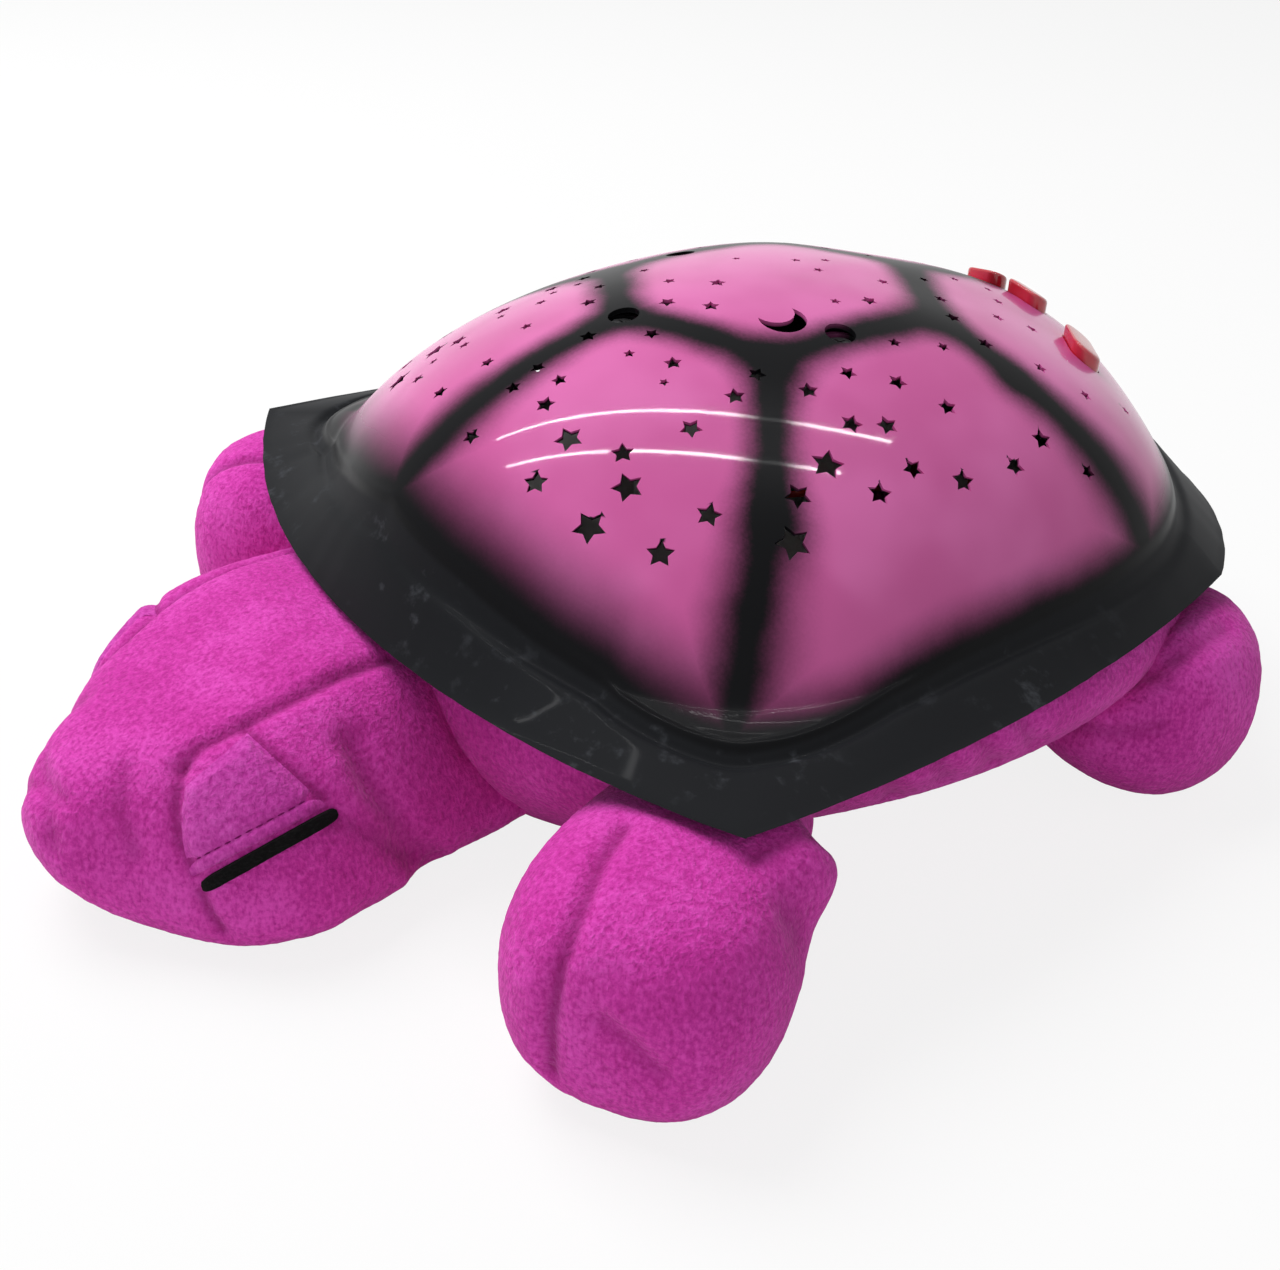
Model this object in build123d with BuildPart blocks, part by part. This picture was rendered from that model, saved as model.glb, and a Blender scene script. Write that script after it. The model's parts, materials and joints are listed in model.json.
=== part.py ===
"""Musical night light: a stuffed turtle with a hard star-pierced shell that holds the works.

Millimetres, +Z up. The turtle looks towards -Y and its left side is +X. The origin is on the
surface it stands on, under the middle of its box.
"""

import os
from math import cos, hypot, pi, sin, sqrt

from build123d import *

os.makedirs("parts", exist_ok=True)

# Shell: plan points of the dome's left half, from the front to the rear, about the shell's middle
shell_y = 27.0
dome_front = 111.0
dome_rear = 124.0
dome_side = 99.5
dome_shoulder = (51.5, -101.0)
dome_front_corner = (96.8, -74.8)
dome_rear_corner = (84.0, 76.0)
dome_haunch = (48.0, 110.0)
shoulder_pull = 0.10
front_corner_pull = 0.256
side_pull = 0.10
rear_corner_pull = 0.07
haunch_pull = 0.08
dome_base_z = 58.0
dome_rise = 61.0
shell_wall = 2.2
dome_levels = (1.0, 0.97, 0.9, 0.79, 0.63, 0.44, 0.25, 0.1)

# Flared rim of the shell
rim_z = 55.0
rim_root_z = 80.0
rim_front = 117.5
rim_rear = 134.0
rim_side = 111.5
rim_front_tip = (117.0, -87.0)
rim_rear_tip = (90.0, 84.0)
front_tip_share = 0.5
rear_tip_share = 0.74
rim_root_sink = 0.6
rim_drop = 1.2

# Star holes: plan place about the shell's middle and width over the points
front_stars = [
    (15, -50, 3), (12, -42, 4), (24, -44, 4.5), (28, -49, 2.5), (11, -66, 4), (15, -72, 5),
    (27, -73, 7), (30, -83, 6), (8, -87, 4.5), (2, -53, 4.5), (3, -67, 4), (4, -74, 4),
    (-12, -72, 4), (-18, -58, 3.5), (-15, -83, 4.5), (-33, -80, 4), (-31, -68, 3.5), (-36, -74, 3),
    (-36, -55, 3), (-30, -47, 3.5), (-34, -41, 3), (-32, -35, 3), (-14, -43, 4.5), (-22, -35, 3.5),
]
top_stars = [
    (-9, -23, 3.5), (0, -15, 4.5), (2, -31, 4.5), (10, -24, 4.5), (-23, -21, 3), (-6, 14, 3),
    (3, 14, 3), (-14, 1, 2.5), (-4, 22, 3), (13, 27, 3.5), (21, 5, 3), (23, 14, 4.5),
]
side_stars = [
    (38, -66, 5.5), (42, -51, 5.5), (40, -38, 5), (37, -30, 4.5), (45, -69, 7.5), (60, -58, 6),
    (46, -79, 8), (60, -70, 6.5), (44, 20, 3.5), (40, 8, 3.5), (45, -10, 4.5), (46, -22, 5),
    (51, 0, 5), (60, 8, 5), (57, -18, 5.5), (60, -10, 5.5), (63, -29, 8), (66, -39, 6.5),
    (72, -21, 6), (70, -10, 5.5), (75, 1, 6), (75, 17, 5.5), (71, 29, 6), (78, 39, 4.5),
    (73, -45, 8.5),
]
rear_stars = [
    (23, 38, 4), (11, 43, 3), (8, 57, 3), (11, 67, 3), (19, 63, 3.5), (30, 52, 4),
    (33, 33, 4.5), (44, 34, 4.5), (32, 63, 4), (52, 46, 4), (59, 56, 4), (57, 75, 3.5),
]
star_waist = 0.52
star_turn = 0.7
star_cut_depth = 6.0
moon_place = (23.0, -12.5)
moon_radius = 5.8
moon_bite = 5.0
moon_shift = 3.6

# Screws that hold the shell on its base, and the cups they sit in
shell_screw_places = ((0.0, -42.0), (33.0, -3.0), (-33.0, -3.0))
cup_radius = 3.75
cup_floor_z = 110.5
cup_boss_radius = 5.2
cup_boss_z = 102.0
screw_radius = 1.5
screw_head_radius = 2.8
screw_head_height = 2.0
screw_length = 17.0
screw_clearance = 0.05
small_screw_radius = 1.0
small_screw_head = 1.9
small_screw_height = 1.3
small_screw_bite = 3.4
cross_slot = (0.6, 0.7)

# Buttons on the shell's rear slope: left and right name, left place, length, width and turn
button_pairs = (
    ("colour_button", "melody_button", (8.0, 86.0), 12.6, 7.0, 0.0),
    ("light_button", "timer_button", (35.0, 80.0), 17.6, 8.0, -35.0),
)
button_proud = 2.4
button_clearance = 0.35
button_lip = 2.0
button_lip_height = 1.5
button_lip_gap = 0.5
button_stem_radius = 2.2
button_travel = 1.5
switch_gap = 0.3

# Switch board under the buttons
switch_board_z = 78.4
board_thickness = 1.6
switch_board_size = (92.0, 18.0)
switch_board_y = 83.0
switch_size = 6.0
switch_height = 3.4
plunger_radius = 1.7
plunger_height = 1.0
board_boss_places = ((21.5, 86.0), (-21.5, 86.0))
board_boss_radius = 3.0

# Base tray inside the shell
tray_z = 61.0
tray_plate = 2.4
tray_clearance = 0.6
tray_headroom = 1.0
post_radius = 4.5
standoff_radius = 2.6
standoff_height = 5.0

# Speaker, front of the tray
speaker_y = -46.0
speaker_radius = 20.0
speaker_flange = 1.2
basket_radius = 17.4
magnet_radius = 11.0
magnet_height = 5.0
basket_depth = 12.5
clamp_radius = 25.0
clamp_height = 2.8
clamp_screw_ring = 22.6
seat_clearance = 0.2

# Light board, middle of the tray
led_board_y = 27.0
led_board_radius = 18.0
led_ring = 6.0
led_radius = 2.5
led_height = 8.6
led_screw_ring = 13.5

# Main board, left of the tray
main_board_place = (57.0, 62.0)
main_board_size = (34.0, 56.0)
main_board_inset = 4.0
chip_radius = 6.0
chip_height = 1.8
capacitor_radius = 3.0
capacitor_height = 8.0
connector_size = (12.0, 5.0, 6.0)

# Battery box under the tray
battery_y = 64.0
cell_radius = 7.1
cell_length = 49.2
cell_nub_radius = 2.75
cell_nub_height = 1.3
cell_pitch = 15.2
cell_clearance = 0.4
contact_thickness = 0.5
contact_width = 9.0
box_wall = 2.0
box_floor_z = 12.0
box_roof = 1.8
lead_hole_radius = 1.3
tray_window = (52.0, 30.0)

# Battery door
door_plate = 2.0
door_overlap = 2.4
door_rim_height = 1.5
door_rim_width = 1.6
door_clearance = 0.3
door_ear_half = 6.0
door_screw_offset = 29.0
door_boss_radius = 4.2
door_boss_height = 12.0
door_screw_length = 9.0

# Leads between the boards
lead_radius = 0.8
lead_bend = 3.0

# Stuffed body: height, half width, reach to the front and to the rear of the shell's middle
body_sections = (
    (1.0, 62.0, 86.0, 92.0),
    (12.0, 75.0, 97.0, 104.0),
    (28.0, 94.5, 106.0, 114.0),
    (44.0, 105.0, 107.0, 116.0),
    (58.3, 89.0, 98.0, 108.0),
)
plush_clearance = 0.4
oval_fullness = 0.76

# Head, turned a little to its left: y, middle x, half width, underside and top
head_sections = (
    (-46.0, -12.0, 46.0, 6.0, 48.5),
    (-66.0, -15.0, 52.0, 4.0, 49.2),
    (-90.0, -10.9, 49.6, 0.0, 51.0),
    (-114.0, -5.3, 51.0, -0.5, 50.5),
    (-134.0, -0.7, 42.4, -0.5, 44.2),
    (-150.0, 3.0, 25.0, 2.9, 38.9),
    (-161.0, 5.5, 14.0, 11.9, 33.2),
    (-166.5, 6.8, 8.6, 20.0, 28.0),
)
# Shape of a head section, as shares of its half width and height: jaw, cheek, top seam and crown
jaw_width, jaw_level = 1.06, 0.13
cheek_level = 0.52
seam_width, seam_level = 0.51, 1.02
crown_level = 1.04
lid_thickness = 1.2
lid_outline = ((-141.0, 22.3), (-138.5, 39.5), (-125.0, 45.0), (-112.5, 33.4))
strip_thickness = 1.6
strip_outline = ((-139.3, 18.6), (-140.2, 21.7), (-112.2, 32.6), (-111.2, 29.0))

# Flippers: root place, heading, then distance, half width, underside and top
front_flipper_root = (78.4, -32.6)
front_flipper_heading = (0.592, -0.806)
front_flipper_sections = (
    (0.0, 20.0, 22.0, 50.0),
    (21.4, 21.2, 8.0, 51.0),
    (44.1, 27.6, -0.5, 52.5),
    (60.9, 27.0, -0.5, 50.5),
    (74.6, 17.4, 7.0, 40.0),
)
front_flipper_back = 13.0
rear_flipper_root = (61.0, 71.0)
rear_flipper_heading = (0.62, 0.785)
rear_flipper_sections = (
    (0.0, 22.0, 20.0, 48.0),
    (18.0, 32.0, 6.0, 50.0),
    (36.0, 33.0, -0.5, 51.5),
    (50.0, 25.5, 1.0, 48.0),
    (60.0, 14.0, 12.0, 39.0),
)
rear_flipper_back = 0.0

# Tail: y, half width, underside and top
tail_sections = (
    (118.0, 16.0, 24.0, 46.0),
    (140.0, 13.0, 22.0, 42.0),
    (158.0, 8.0, 24.0, 38.0),
    (166.5, 3.5, 27.0, 34.0),
)

# Belly flap with hook and loop tape
flap_margin = 6.0
flap_thickness = 4.0
flap_clearance = 0.5
flap_z = 1.5
belly_margin = 3.0
ledge_z = 6.8
tape_thickness = 0.5
tape_width = 10.0
tape_length = 60.0
tape_ledge = 14.0


def drawn_in(reach, pull):
    """Share of a plan point's distance at one share of the reach, less as the dome rises."""
    return reach * (1 - pull * (1 - reach * reach) ** 0.25)


def ring(reach, inset=0.0):
    """Plan points of the dome all the way round, at one share of its reach."""
    half = []
    for (x, y), pull in (
        ((0.0, -dome_front), 0.0),
        (dome_shoulder, shoulder_pull),
        (dome_front_corner, front_corner_pull),
        ((dome_side, 0.0), side_pull),
        (dome_rear_corner, rear_corner_pull),
        (dome_haunch, haunch_pull),
        ((0.0, dome_rear), 0.0),
    ):
        length = hypot(x, y)
        scale = drawn_in(reach, pull) * (length - inset) / length
        half.append((x * scale, y * scale))
    return half + [(-x, y) for x, y in half[-2:0:-1]]


def level(reach, inset=0.0):
    """Height of the dome at one share of its reach."""
    return dome_base_z + (dome_rise - inset) * sqrt(1 - reach * reach)


def within(points, x, y):
    """Tell whether a plan point lies inside a ring of plan points."""
    following = points[1:] + points[:1]
    return all((c - a) * (y - b) - (d - b) * (x - a) >= 0 for (a, b), (c, d) in zip(points, following))


def dome_z(x, y, inset=0.0):
    """Height of the dome over a plan place about the shell's middle."""
    low, high = 0.0, 1.0
    for _ in range(30):
        middle = (low + high) / 2
        if within(ring(middle, inset), x, y):
            high = middle
        else:
            low = middle
    return level(high, inset)


def dome_plane(x, y, step=1.0):
    """Plane that lies on the dome at a plan place, with its normal pointing out."""
    slope_x = (dome_z(x + step, y) - dome_z(x - step, y)) / (2 * step)
    slope_y = (dome_z(x, y + step) - dome_z(x, y - step)) / (2 * step)
    place = (x, y + shell_y, dome_z(x, y))
    return Plane(origin=place, x_dir=(1, 0, slope_x), z_dir=(-slope_x, -slope_y, 1))


def dome_solid(inset):
    """Solid dome, drawn in from the shell's outside by an inset."""
    with BuildPart() as dome:
        for reach in dome_levels:
            with BuildSketch(Plane.XY.offset(level(reach, inset))):
                with BuildLine():
                    Spline(*[(x, y + shell_y) for x, y in ring(reach, inset)], periodic=True)
                make_face()
        loft()
    return dome.part


def rim_outline(front, rear, side, front_tip, rear_tip):
    """Four arcs from tip to tip of the rim, drawn in the open line."""
    left_front = (front_tip[0], front_tip[1] + shell_y)
    left_rear = (rear_tip[0], rear_tip[1] + shell_y)
    right_front = (-left_front[0], left_front[1])
    right_rear = (-left_rear[0], left_rear[1])
    ThreePointArc(right_front, (0, shell_y - front), left_front)
    ThreePointArc(left_front, (side, shell_y), left_rear)
    ThreePointArc(left_rear, (0, shell_y + rear), right_rear)
    ThreePointArc(right_rear, (-side, shell_y), right_front)


def skirt_solid(inset, drop):
    """Solid flare of the rim, from its edge up to where it sinks into the dome."""
    share = sqrt(1 - ((rim_root_z - dome_base_z) / dome_rise) ** 2)
    sink = inset + rim_root_sink
    with BuildPart() as skirt:
        with BuildSketch(Plane.XY.offset(rim_z - drop)):
            with BuildLine():
                rim_outline(
                    rim_front - inset,
                    rim_rear - inset,
                    rim_side - inset,
                    tuple(v * (1 - inset / hypot(*rim_front_tip)) for v in rim_front_tip),
                    tuple(v * (1 - inset / hypot(*rim_rear_tip)) for v in rim_rear_tip),
                )
            make_face()
        with BuildSketch(Plane.XY.offset(rim_root_z - drop)):
            with BuildLine():
                rim_outline(
                    dome_front * share - sink,
                    dome_rear * share - sink,
                    dome_side * drawn_in(share, side_pull) - sink,
                    tuple(v * front_tip_share for v in rim_front_tip),
                    tuple(v * rear_tip_share for v in rim_rear_tip),
                )
            make_face()
        loft(ruled=True)
    return skirt.part


def oval(half_width, half_height):
    """Plump oval of four short arcs about the open line's middle."""
    across = half_width * oval_fullness
    up = half_height * oval_fullness
    ThreePointArc((-across, up), (0, half_height), (across, up))
    ThreePointArc((across, up), (half_width, 0), (across, -up))
    ThreePointArc((across, -up), (0, -half_height), (-across, -up))
    ThreePointArc((-across, -up), (-half_width, 0), (-across, up))


def stuffed(sections):
    """Soft form through ovals, each given as a plane, a half width and a half height."""
    with BuildPart() as form:
        for plane, half_width, half_height in sections:
            with BuildSketch(plane):
                with BuildLine():
                    oval(half_width, half_height)
                make_face()
        loft()
    return form.part


def lengthwise(sections):
    """Oval sections across Y, from rows of y, half width, underside and top."""
    return [
        (
            Plane(origin=(0, y, (low + high) / 2), x_dir=(1, 0, 0), z_dir=(0, -1, 0)),
            half_width,
            (high - low) / 2,
        )
        for y, half_width, low, high in sections
    ]


def head_shape(growth=0.0):
    """Head with a flat top between two seams and a wide jaw, drawn out by some growth."""
    with BuildPart() as form:
        for y, middle, half_width, low, high in head_sections:
            half = half_width + growth
            base = low - growth
            height = high - low + 2 * growth
            jaw = (jaw_width * half, base + jaw_level * height)
            cheek = (half, base + cheek_level * height)
            seam = (seam_width * half, base + seam_level * height)
            with BuildSketch(Plane(origin=(middle, y, 0), x_dir=(1, 0, 0), z_dir=(0, -1, 0))):
                with BuildLine():
                    ThreePointArc((-jaw[0], jaw[1]), (0, base), jaw)
                    ThreePointArc(jaw, cheek, seam)
                    ThreePointArc(seam, (0, base + crown_level * height), (-seam[0], seam[1]))
                    ThreePointArc((-seam[0], seam[1]), (-cheek[0], cheek[1]), (-jaw[0], jaw[1]))
                make_face()
        loft()
    return form.part


def limb(root, heading, sections):
    """Oval sections along a limb's level heading."""
    return [
        (
            Plane(
                origin=(root[0] + heading[0] * along, root[1] + heading[1] * along, (low + high) / 2),
                x_dir=(-heading[1], heading[0], 0),
                z_dir=(heading[0], heading[1], 0),
            ),
            half_width,
            (high - low) / 2,
        )
        for along, half_width, low, high in sections
    ]


def prism(plane, points, amount):
    """Straight prism on a closed outline."""
    with BuildPart() as block:
        with BuildSketch(plane):
            with BuildLine():
                Polyline(*points, close=True)
            make_face()
        extrude(amount=amount)
    return block.part


def disc(places, radius, low, high):
    """Upright round pegs at plan places, from one height to another."""
    with BuildPart() as pegs:
        with BuildSketch(Plane.XY.offset(low)):
            with Locations(*places):
                Circle(radius)
        extrude(amount=high - low)
    return pegs.part


def block(middle, size, low, high):
    """Upright box about a plan place."""
    with BuildPart() as box:
        with BuildSketch(Plane.XY.offset(low)):
            with Locations(middle):
                Rectangle(*size)
        extrude(amount=high - low)
    return box.part


def pan_screws(places, seat_z, radius, head_radius, head_height, length, up=1):
    """Pan head screws on one seat height, with crossed slots; up is -1 for heads that face down."""
    with BuildPart() as screws:
        with BuildSketch(Plane.XY.offset(seat_z)):
            with Locations(*places):
                Circle(head_radius)
        extrude(amount=head_height * up)
        with BuildSketch(Plane.XY.offset(seat_z)):
            with Locations(*places):
                Circle(radius)
        extrude(amount=-length * up)
        with BuildSketch(Plane.XY.offset(seat_z + head_height * up)):
            with Locations(*places):
                Rectangle(head_radius * 1.3, cross_slot[0])
                Rectangle(cross_slot[0], head_radius * 1.3)
        extrude(amount=-cross_slot[1] * up, mode=Mode.SUBTRACT)
    return screws.part


def turned(y, profile):
    """Round piece about the upright line at a place on the middle plane, from radius and height points."""
    with BuildPart() as piece:
        with BuildSketch(Plane(origin=(0, y, 0), x_dir=(1, 0, 0), z_dir=(0, -1, 0))):
            with BuildLine():
                Polyline(*profile, close=True)
            make_face()
        revolve(axis=Axis((0, y, 0), (0, 0, 1)))
    return piece.part


def star(width, turn):
    """Points and waists of a five-pointed star about the open line's middle."""
    corners = []
    for step in range(10):
        radius = width / 2 * (star_waist if step % 2 else 1)
        angle = turn + step * pi / 5
        corners.append((radius * cos(angle), radius * sin(angle)))
    return corners


def thirds(y, radius, start=0.0):
    """Three plan places spread round a place on the middle plane."""
    angles = [start + 2 * pi * step / 3 for step in range(3)]
    return [(radius * sin(angle), y + radius * cos(angle)) for angle in angles]


def at_shell(places):
    """Plan places about the shell's middle, turned into plan places of the part."""
    return [(x, y + shell_y) for x, y in places]


def save(builder, name):
    """Label a finished piece and write it."""
    builder.part.label = name
    export_step(builder.part, f"parts/{name}.step")


screw_hole = screw_radius + screw_clearance
small_hole = small_screw_radius + screw_clearance

# Shell
outer_dome = dome_solid(0.0)
inner_dome = dome_solid(shell_wall)
proud_dome = dome_solid(-button_proud)
outer_skirt = skirt_solid(0.0, 0.0)
inner_skirt = skirt_solid(shell_wall, rim_drop)
screw_places = at_shell(shell_screw_places)
boss_places = at_shell(board_boss_places)
stars = front_stars + top_stars + side_stars + rear_stars
stars += [(-x, y, width) for x, y, width in side_stars + rear_stars]

with BuildPart() as star_cuts:
    for number, (x, y, width) in enumerate(stars):
        with BuildSketch(dome_plane(x, y)):
            with BuildLine():
                Polyline(*star(width, number * star_turn), close=True)
            make_face()
    extrude(amount=star_cut_depth, both=True)

with BuildPart() as moon_cut:
    with BuildSketch(dome_plane(*moon_place)):
        Circle(moon_radius)
        with Locations((-moon_shift, 0)):
            Circle(moon_bite, mode=Mode.SUBTRACT)
    extrude(amount=star_cut_depth, both=True)

with BuildPart() as shell_bosses:
    add(disc(screw_places, cup_boss_radius, cup_boss_z, dome_base_z + dome_rise))
    add(disc(boss_places, board_boss_radius, switch_board_z, dome_base_z + dome_rise))
    add(outer_dome, mode=Mode.INTERSECT)

with BuildPart() as button_slots:
    for _, _, (x, y), length, width, turn in button_pairs:
        for side in (1, -1):
            with BuildSketch(Plane.XY.offset(switch_board_z)):
                with Locations((side * x, y + shell_y)):
                    SlotOverall(
                        length + 2 * button_clearance,
                        width + 2 * button_clearance,
                        rotation=side * turn,
                    )
    extrude(amount=dome_rise)

with BuildPart() as shell:
    add(outer_dome)
    add(outer_skirt)
    add(inner_dome, mode=Mode.SUBTRACT)
    add(inner_skirt, mode=Mode.SUBTRACT)
    add(shell_bosses.part)
    add(disc(screw_places, cup_radius, cup_floor_z, dome_base_z + dome_rise + 1), mode=Mode.SUBTRACT)
    add(disc(screw_places, screw_hole, cup_boss_z - 1, cup_floor_z + 1), mode=Mode.SUBTRACT)
    add(
        disc(
            boss_places,
            small_hole,
            switch_board_z - 1,
            switch_board_z + small_screw_bite + 0.5,
        ),
        mode=Mode.SUBTRACT,
    )
    add(button_slots.part, mode=Mode.SUBTRACT)
    add(moon_cut.part, mode=Mode.SUBTRACT)
    add(star_cuts.part, mode=Mode.SUBTRACT)
save(shell, "shell")

with BuildPart() as shell_screws:
    add(
        pan_screws(
            screw_places,
            cup_floor_z,
            screw_radius,
            screw_head_radius,
            screw_head_height,
            screw_length,
        )
    )
save(shell_screws, "shell_screws")

# Buttons
switch_top_z = switch_board_z + switch_height + plunger_height
stem_low_z = switch_top_z + switch_gap + button_travel

for left_name, right_name, (x, y), length, width, turn in button_pairs:
    lip_width = width + 2 * button_lip
    lip_top_z = dome_z(x + lip_width / 2, y + lip_width / 2, shell_wall) - button_lip_gap
    with BuildPart() as button:
        with BuildSketch(Plane.XY.offset(lip_top_z - button_lip_height)):
            with Locations((x, y + shell_y)):
                SlotOverall(length, width, rotation=turn)
        extrude(amount=dome_rise)
        add(proud_dome, mode=Mode.INTERSECT)
        with BuildSketch(Plane.XY.offset(lip_top_z - button_lip_height)):
            with Locations((x, y + shell_y)):
                SlotOverall(length, lip_width, rotation=turn)
        extrude(amount=button_lip_height)
        with BuildSketch(Plane.XY.offset(stem_low_z)):
            with Locations((x, y + shell_y)):
                Circle(button_stem_radius)
        extrude(amount=lip_top_z - button_lip_height - stem_low_z)
    save(button, left_name)
    with BuildPart() as mirrored_button:
        mirror(button.part, about=Plane.YZ)
    save(mirrored_button, right_name)

# Switch board
switch_places = at_shell([(side * x, y) for _, _, (x, y), *_ in button_pairs for side in (1, -1)])

with BuildPart() as switch_board:
    add(
        block(
            (0, switch_board_y + shell_y),
            switch_board_size,
            switch_board_z - board_thickness,
            switch_board_z,
        )
    )
    add(
        disc(
            boss_places,
            small_hole,
            switch_board_z - board_thickness - 1,
            switch_board_z + 1,
        ),
        mode=Mode.SUBTRACT,
    )
save(switch_board, "switch_board")

with BuildPart() as tact_switches:
    for place in switch_places:
        add(block(place, (switch_size, switch_size), switch_board_z, switch_board_z + switch_height))
    add(disc(switch_places, plunger_radius, switch_board_z + switch_height, switch_top_z))
save(tact_switches, "tact_switches")

with BuildPart() as switch_board_screws:
    add(
        pan_screws(
            boss_places,
            switch_board_z - board_thickness,
            small_screw_radius,
            small_screw_head,
            small_screw_height,
            board_thickness + small_screw_bite,
            up=-1,
        )
    )
save(switch_board_screws, "switch_board_screws")

# Base tray with its posts, standoffs and battery box
board_z = tray_z + standoff_height
led_screw_places = thirds(led_board_y, led_screw_ring, pi)
main_screw_places = [
    (
        main_board_place[0] + sx * (main_board_size[0] / 2 - main_board_inset),
        main_board_place[1] + sy * (main_board_size[1] / 2 - main_board_inset),
    )
    for sx in (-1, 1)
    for sy in (-1, 1)
]
clamp_screw_places = thirds(speaker_y, clamp_screw_ring, pi / 3)
box_half_x = cell_length / 2 + cell_nub_height + contact_thickness * 2 + cell_clearance
box_half_y = 1.5 * cell_pitch + cell_clearance
box_roof_z = box_floor_z + door_rim_height + 2 * cell_radius + 2 * cell_clearance
door_screw_place = (0.0, battery_y - door_screw_offset)
battery_lead_place = (box_half_x - 4.0, battery_y)
tray_reach_inset = shell_wall + tray_clearance
tray_reach = sqrt(1 - ((tray_z + tray_headroom - dome_base_z) / dome_rise) ** 2)
plate_low_z = tray_z - tray_plate

with BuildPart() as base_tray:
    with BuildSketch(Plane.XY.offset(plate_low_z)):
        with BuildLine():
            Spline(*[(x, y + shell_y) for x, y in ring(tray_reach, tray_reach_inset)], periodic=True)
        make_face()
    extrude(amount=tray_plate)
    add(
        disc([(0, speaker_y)], basket_radius + 2 * seat_clearance, plate_low_z - 1, tray_z + 1),
        mode=Mode.SUBTRACT,
    )
    add(block((0, battery_y), tray_window, plate_low_z - 1, tray_z + 1), mode=Mode.SUBTRACT)
    add(disc(screw_places, post_radius, tray_z, cup_boss_z))
    add(disc(led_screw_places + main_screw_places, standoff_radius, tray_z, board_z))
    with BuildSketch(Plane.XY.offset(box_floor_z)):
        with Locations((0, battery_y)):
            Rectangle(2 * (box_half_x + box_wall), 2 * (box_half_y + box_wall))
            Rectangle(2 * box_half_x, 2 * box_half_y, mode=Mode.SUBTRACT)
    extrude(amount=plate_low_z - box_floor_z)
    add(block((0, battery_y), (2 * box_half_x, 2 * box_half_y), box_roof_z, box_roof_z + box_roof))
    add(disc([door_screw_place], door_boss_radius, box_floor_z, box_floor_z + door_boss_height))
    add(
        disc(screw_places, screw_hole, cup_floor_z - screw_length - 1, cup_boss_z + 1),
        mode=Mode.SUBTRACT,
    )
    add(
        disc(
            led_screw_places + main_screw_places,
            small_hole,
            board_z - small_screw_bite - 0.5,
            board_z + 1,
        ),
        mode=Mode.SUBTRACT,
    )
    add(
        disc(clamp_screw_places, small_hole, plate_low_z - 1, tray_z + 1),
        mode=Mode.SUBTRACT,
    )
    add(
        disc(
            [door_screw_place],
            small_hole,
            box_floor_z - 1,
            box_floor_z - door_plate + door_screw_length + 0.5,
        ),
        mode=Mode.SUBTRACT,
    )
    add(
        disc([battery_lead_place], lead_hole_radius, box_roof_z - 1, box_roof_z + box_roof + 1),
        mode=Mode.SUBTRACT,
    )
save(base_tray, "base_tray")

# Speaker
flange_z = tray_z + speaker_flange
basket_low_z = flange_z - basket_depth
throat_radius = magnet_radius - 1.0

with BuildPart() as speaker_basket:
    add(
        turned(
            speaker_y,
            (
                (speaker_radius, flange_z),
                (speaker_radius, tray_z),
                (basket_radius, tray_z),
                (magnet_radius, basket_low_z + 1.2),
                (magnet_radius, basket_low_z),
                (0, basket_low_z),
                (0, basket_low_z + 1.2),
                (throat_radius, basket_low_z + 1.2),
                (basket_radius - 1.0, flange_z),
            ),
        )
    )
save(speaker_basket, "speaker_basket")

with BuildPart() as speaker_magnet:
    add(disc([(0, speaker_y)], magnet_radius, basket_low_z - magnet_height, basket_low_z))
save(speaker_magnet, "speaker_magnet")

cone_radius = basket_radius - 1.9
dust_cap_radius = 5.0

with BuildPart() as speaker_cone:
    add(
        turned(
            speaker_y,
            (
                (cone_radius, flange_z - 0.2),
                (cone_radius, flange_z - 0.9),
                (dust_cap_radius, basket_low_z + 3.6),
                (0, basket_low_z + 1.2),
                (0, basket_low_z + 5.4),
                (dust_cap_radius, basket_low_z + 4.4),
            ),
        )
    )
save(speaker_cone, "speaker_cone")

with BuildPart() as speaker_clamp:
    add(
        turned(
            speaker_y,
            (
                (basket_radius, tray_z + clamp_height),
                (clamp_radius, tray_z + clamp_height),
                (clamp_radius, tray_z),
                (speaker_radius + seat_clearance, tray_z),
                (speaker_radius + seat_clearance, flange_z),
                (basket_radius, flange_z),
            ),
        )
    )
    add(
        disc(clamp_screw_places, small_hole, tray_z - 1, tray_z + clamp_height + 1),
        mode=Mode.SUBTRACT,
    )
save(speaker_clamp, "speaker_clamp")

with BuildPart() as speaker_screws:
    add(
        pan_screws(
            clamp_screw_places,
            tray_z + clamp_height,
            small_screw_radius,
            small_screw_head,
            small_screw_height,
            clamp_height + tray_plate,
        )
    )
save(speaker_screws, "speaker_screws")

# Light board
led_places = thirds(led_board_y, led_ring)
board_top_z = board_z + board_thickness

with BuildPart() as led_board:
    add(disc([(0, led_board_y)], led_board_radius, board_z, board_top_z))
    add(disc(led_screw_places, small_hole, board_z - 1, board_top_z + 1), mode=Mode.SUBTRACT)
save(led_board, "led_board")

for name, place in zip(("led_red", "led_green", "led_blue"), led_places):
    with BuildPart() as led:
        add(disc([place], led_radius + 0.4, board_top_z, board_top_z + 1.0))
        add(disc([place], led_radius, board_top_z, board_top_z + led_height))
        fillet(led.faces().sort_by(Axis.Z)[-1].edges(), radius=led_radius * 0.9)
    save(led, name)

with BuildPart() as board_screws:
    add(
        pan_screws(
            led_screw_places + main_screw_places,
            board_top_z,
            small_screw_radius,
            small_screw_head,
            small_screw_height,
            board_thickness + small_screw_bite,
        )
    )
save(board_screws, "board_screws")

# Main board
main_x, main_y = main_board_place

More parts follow.
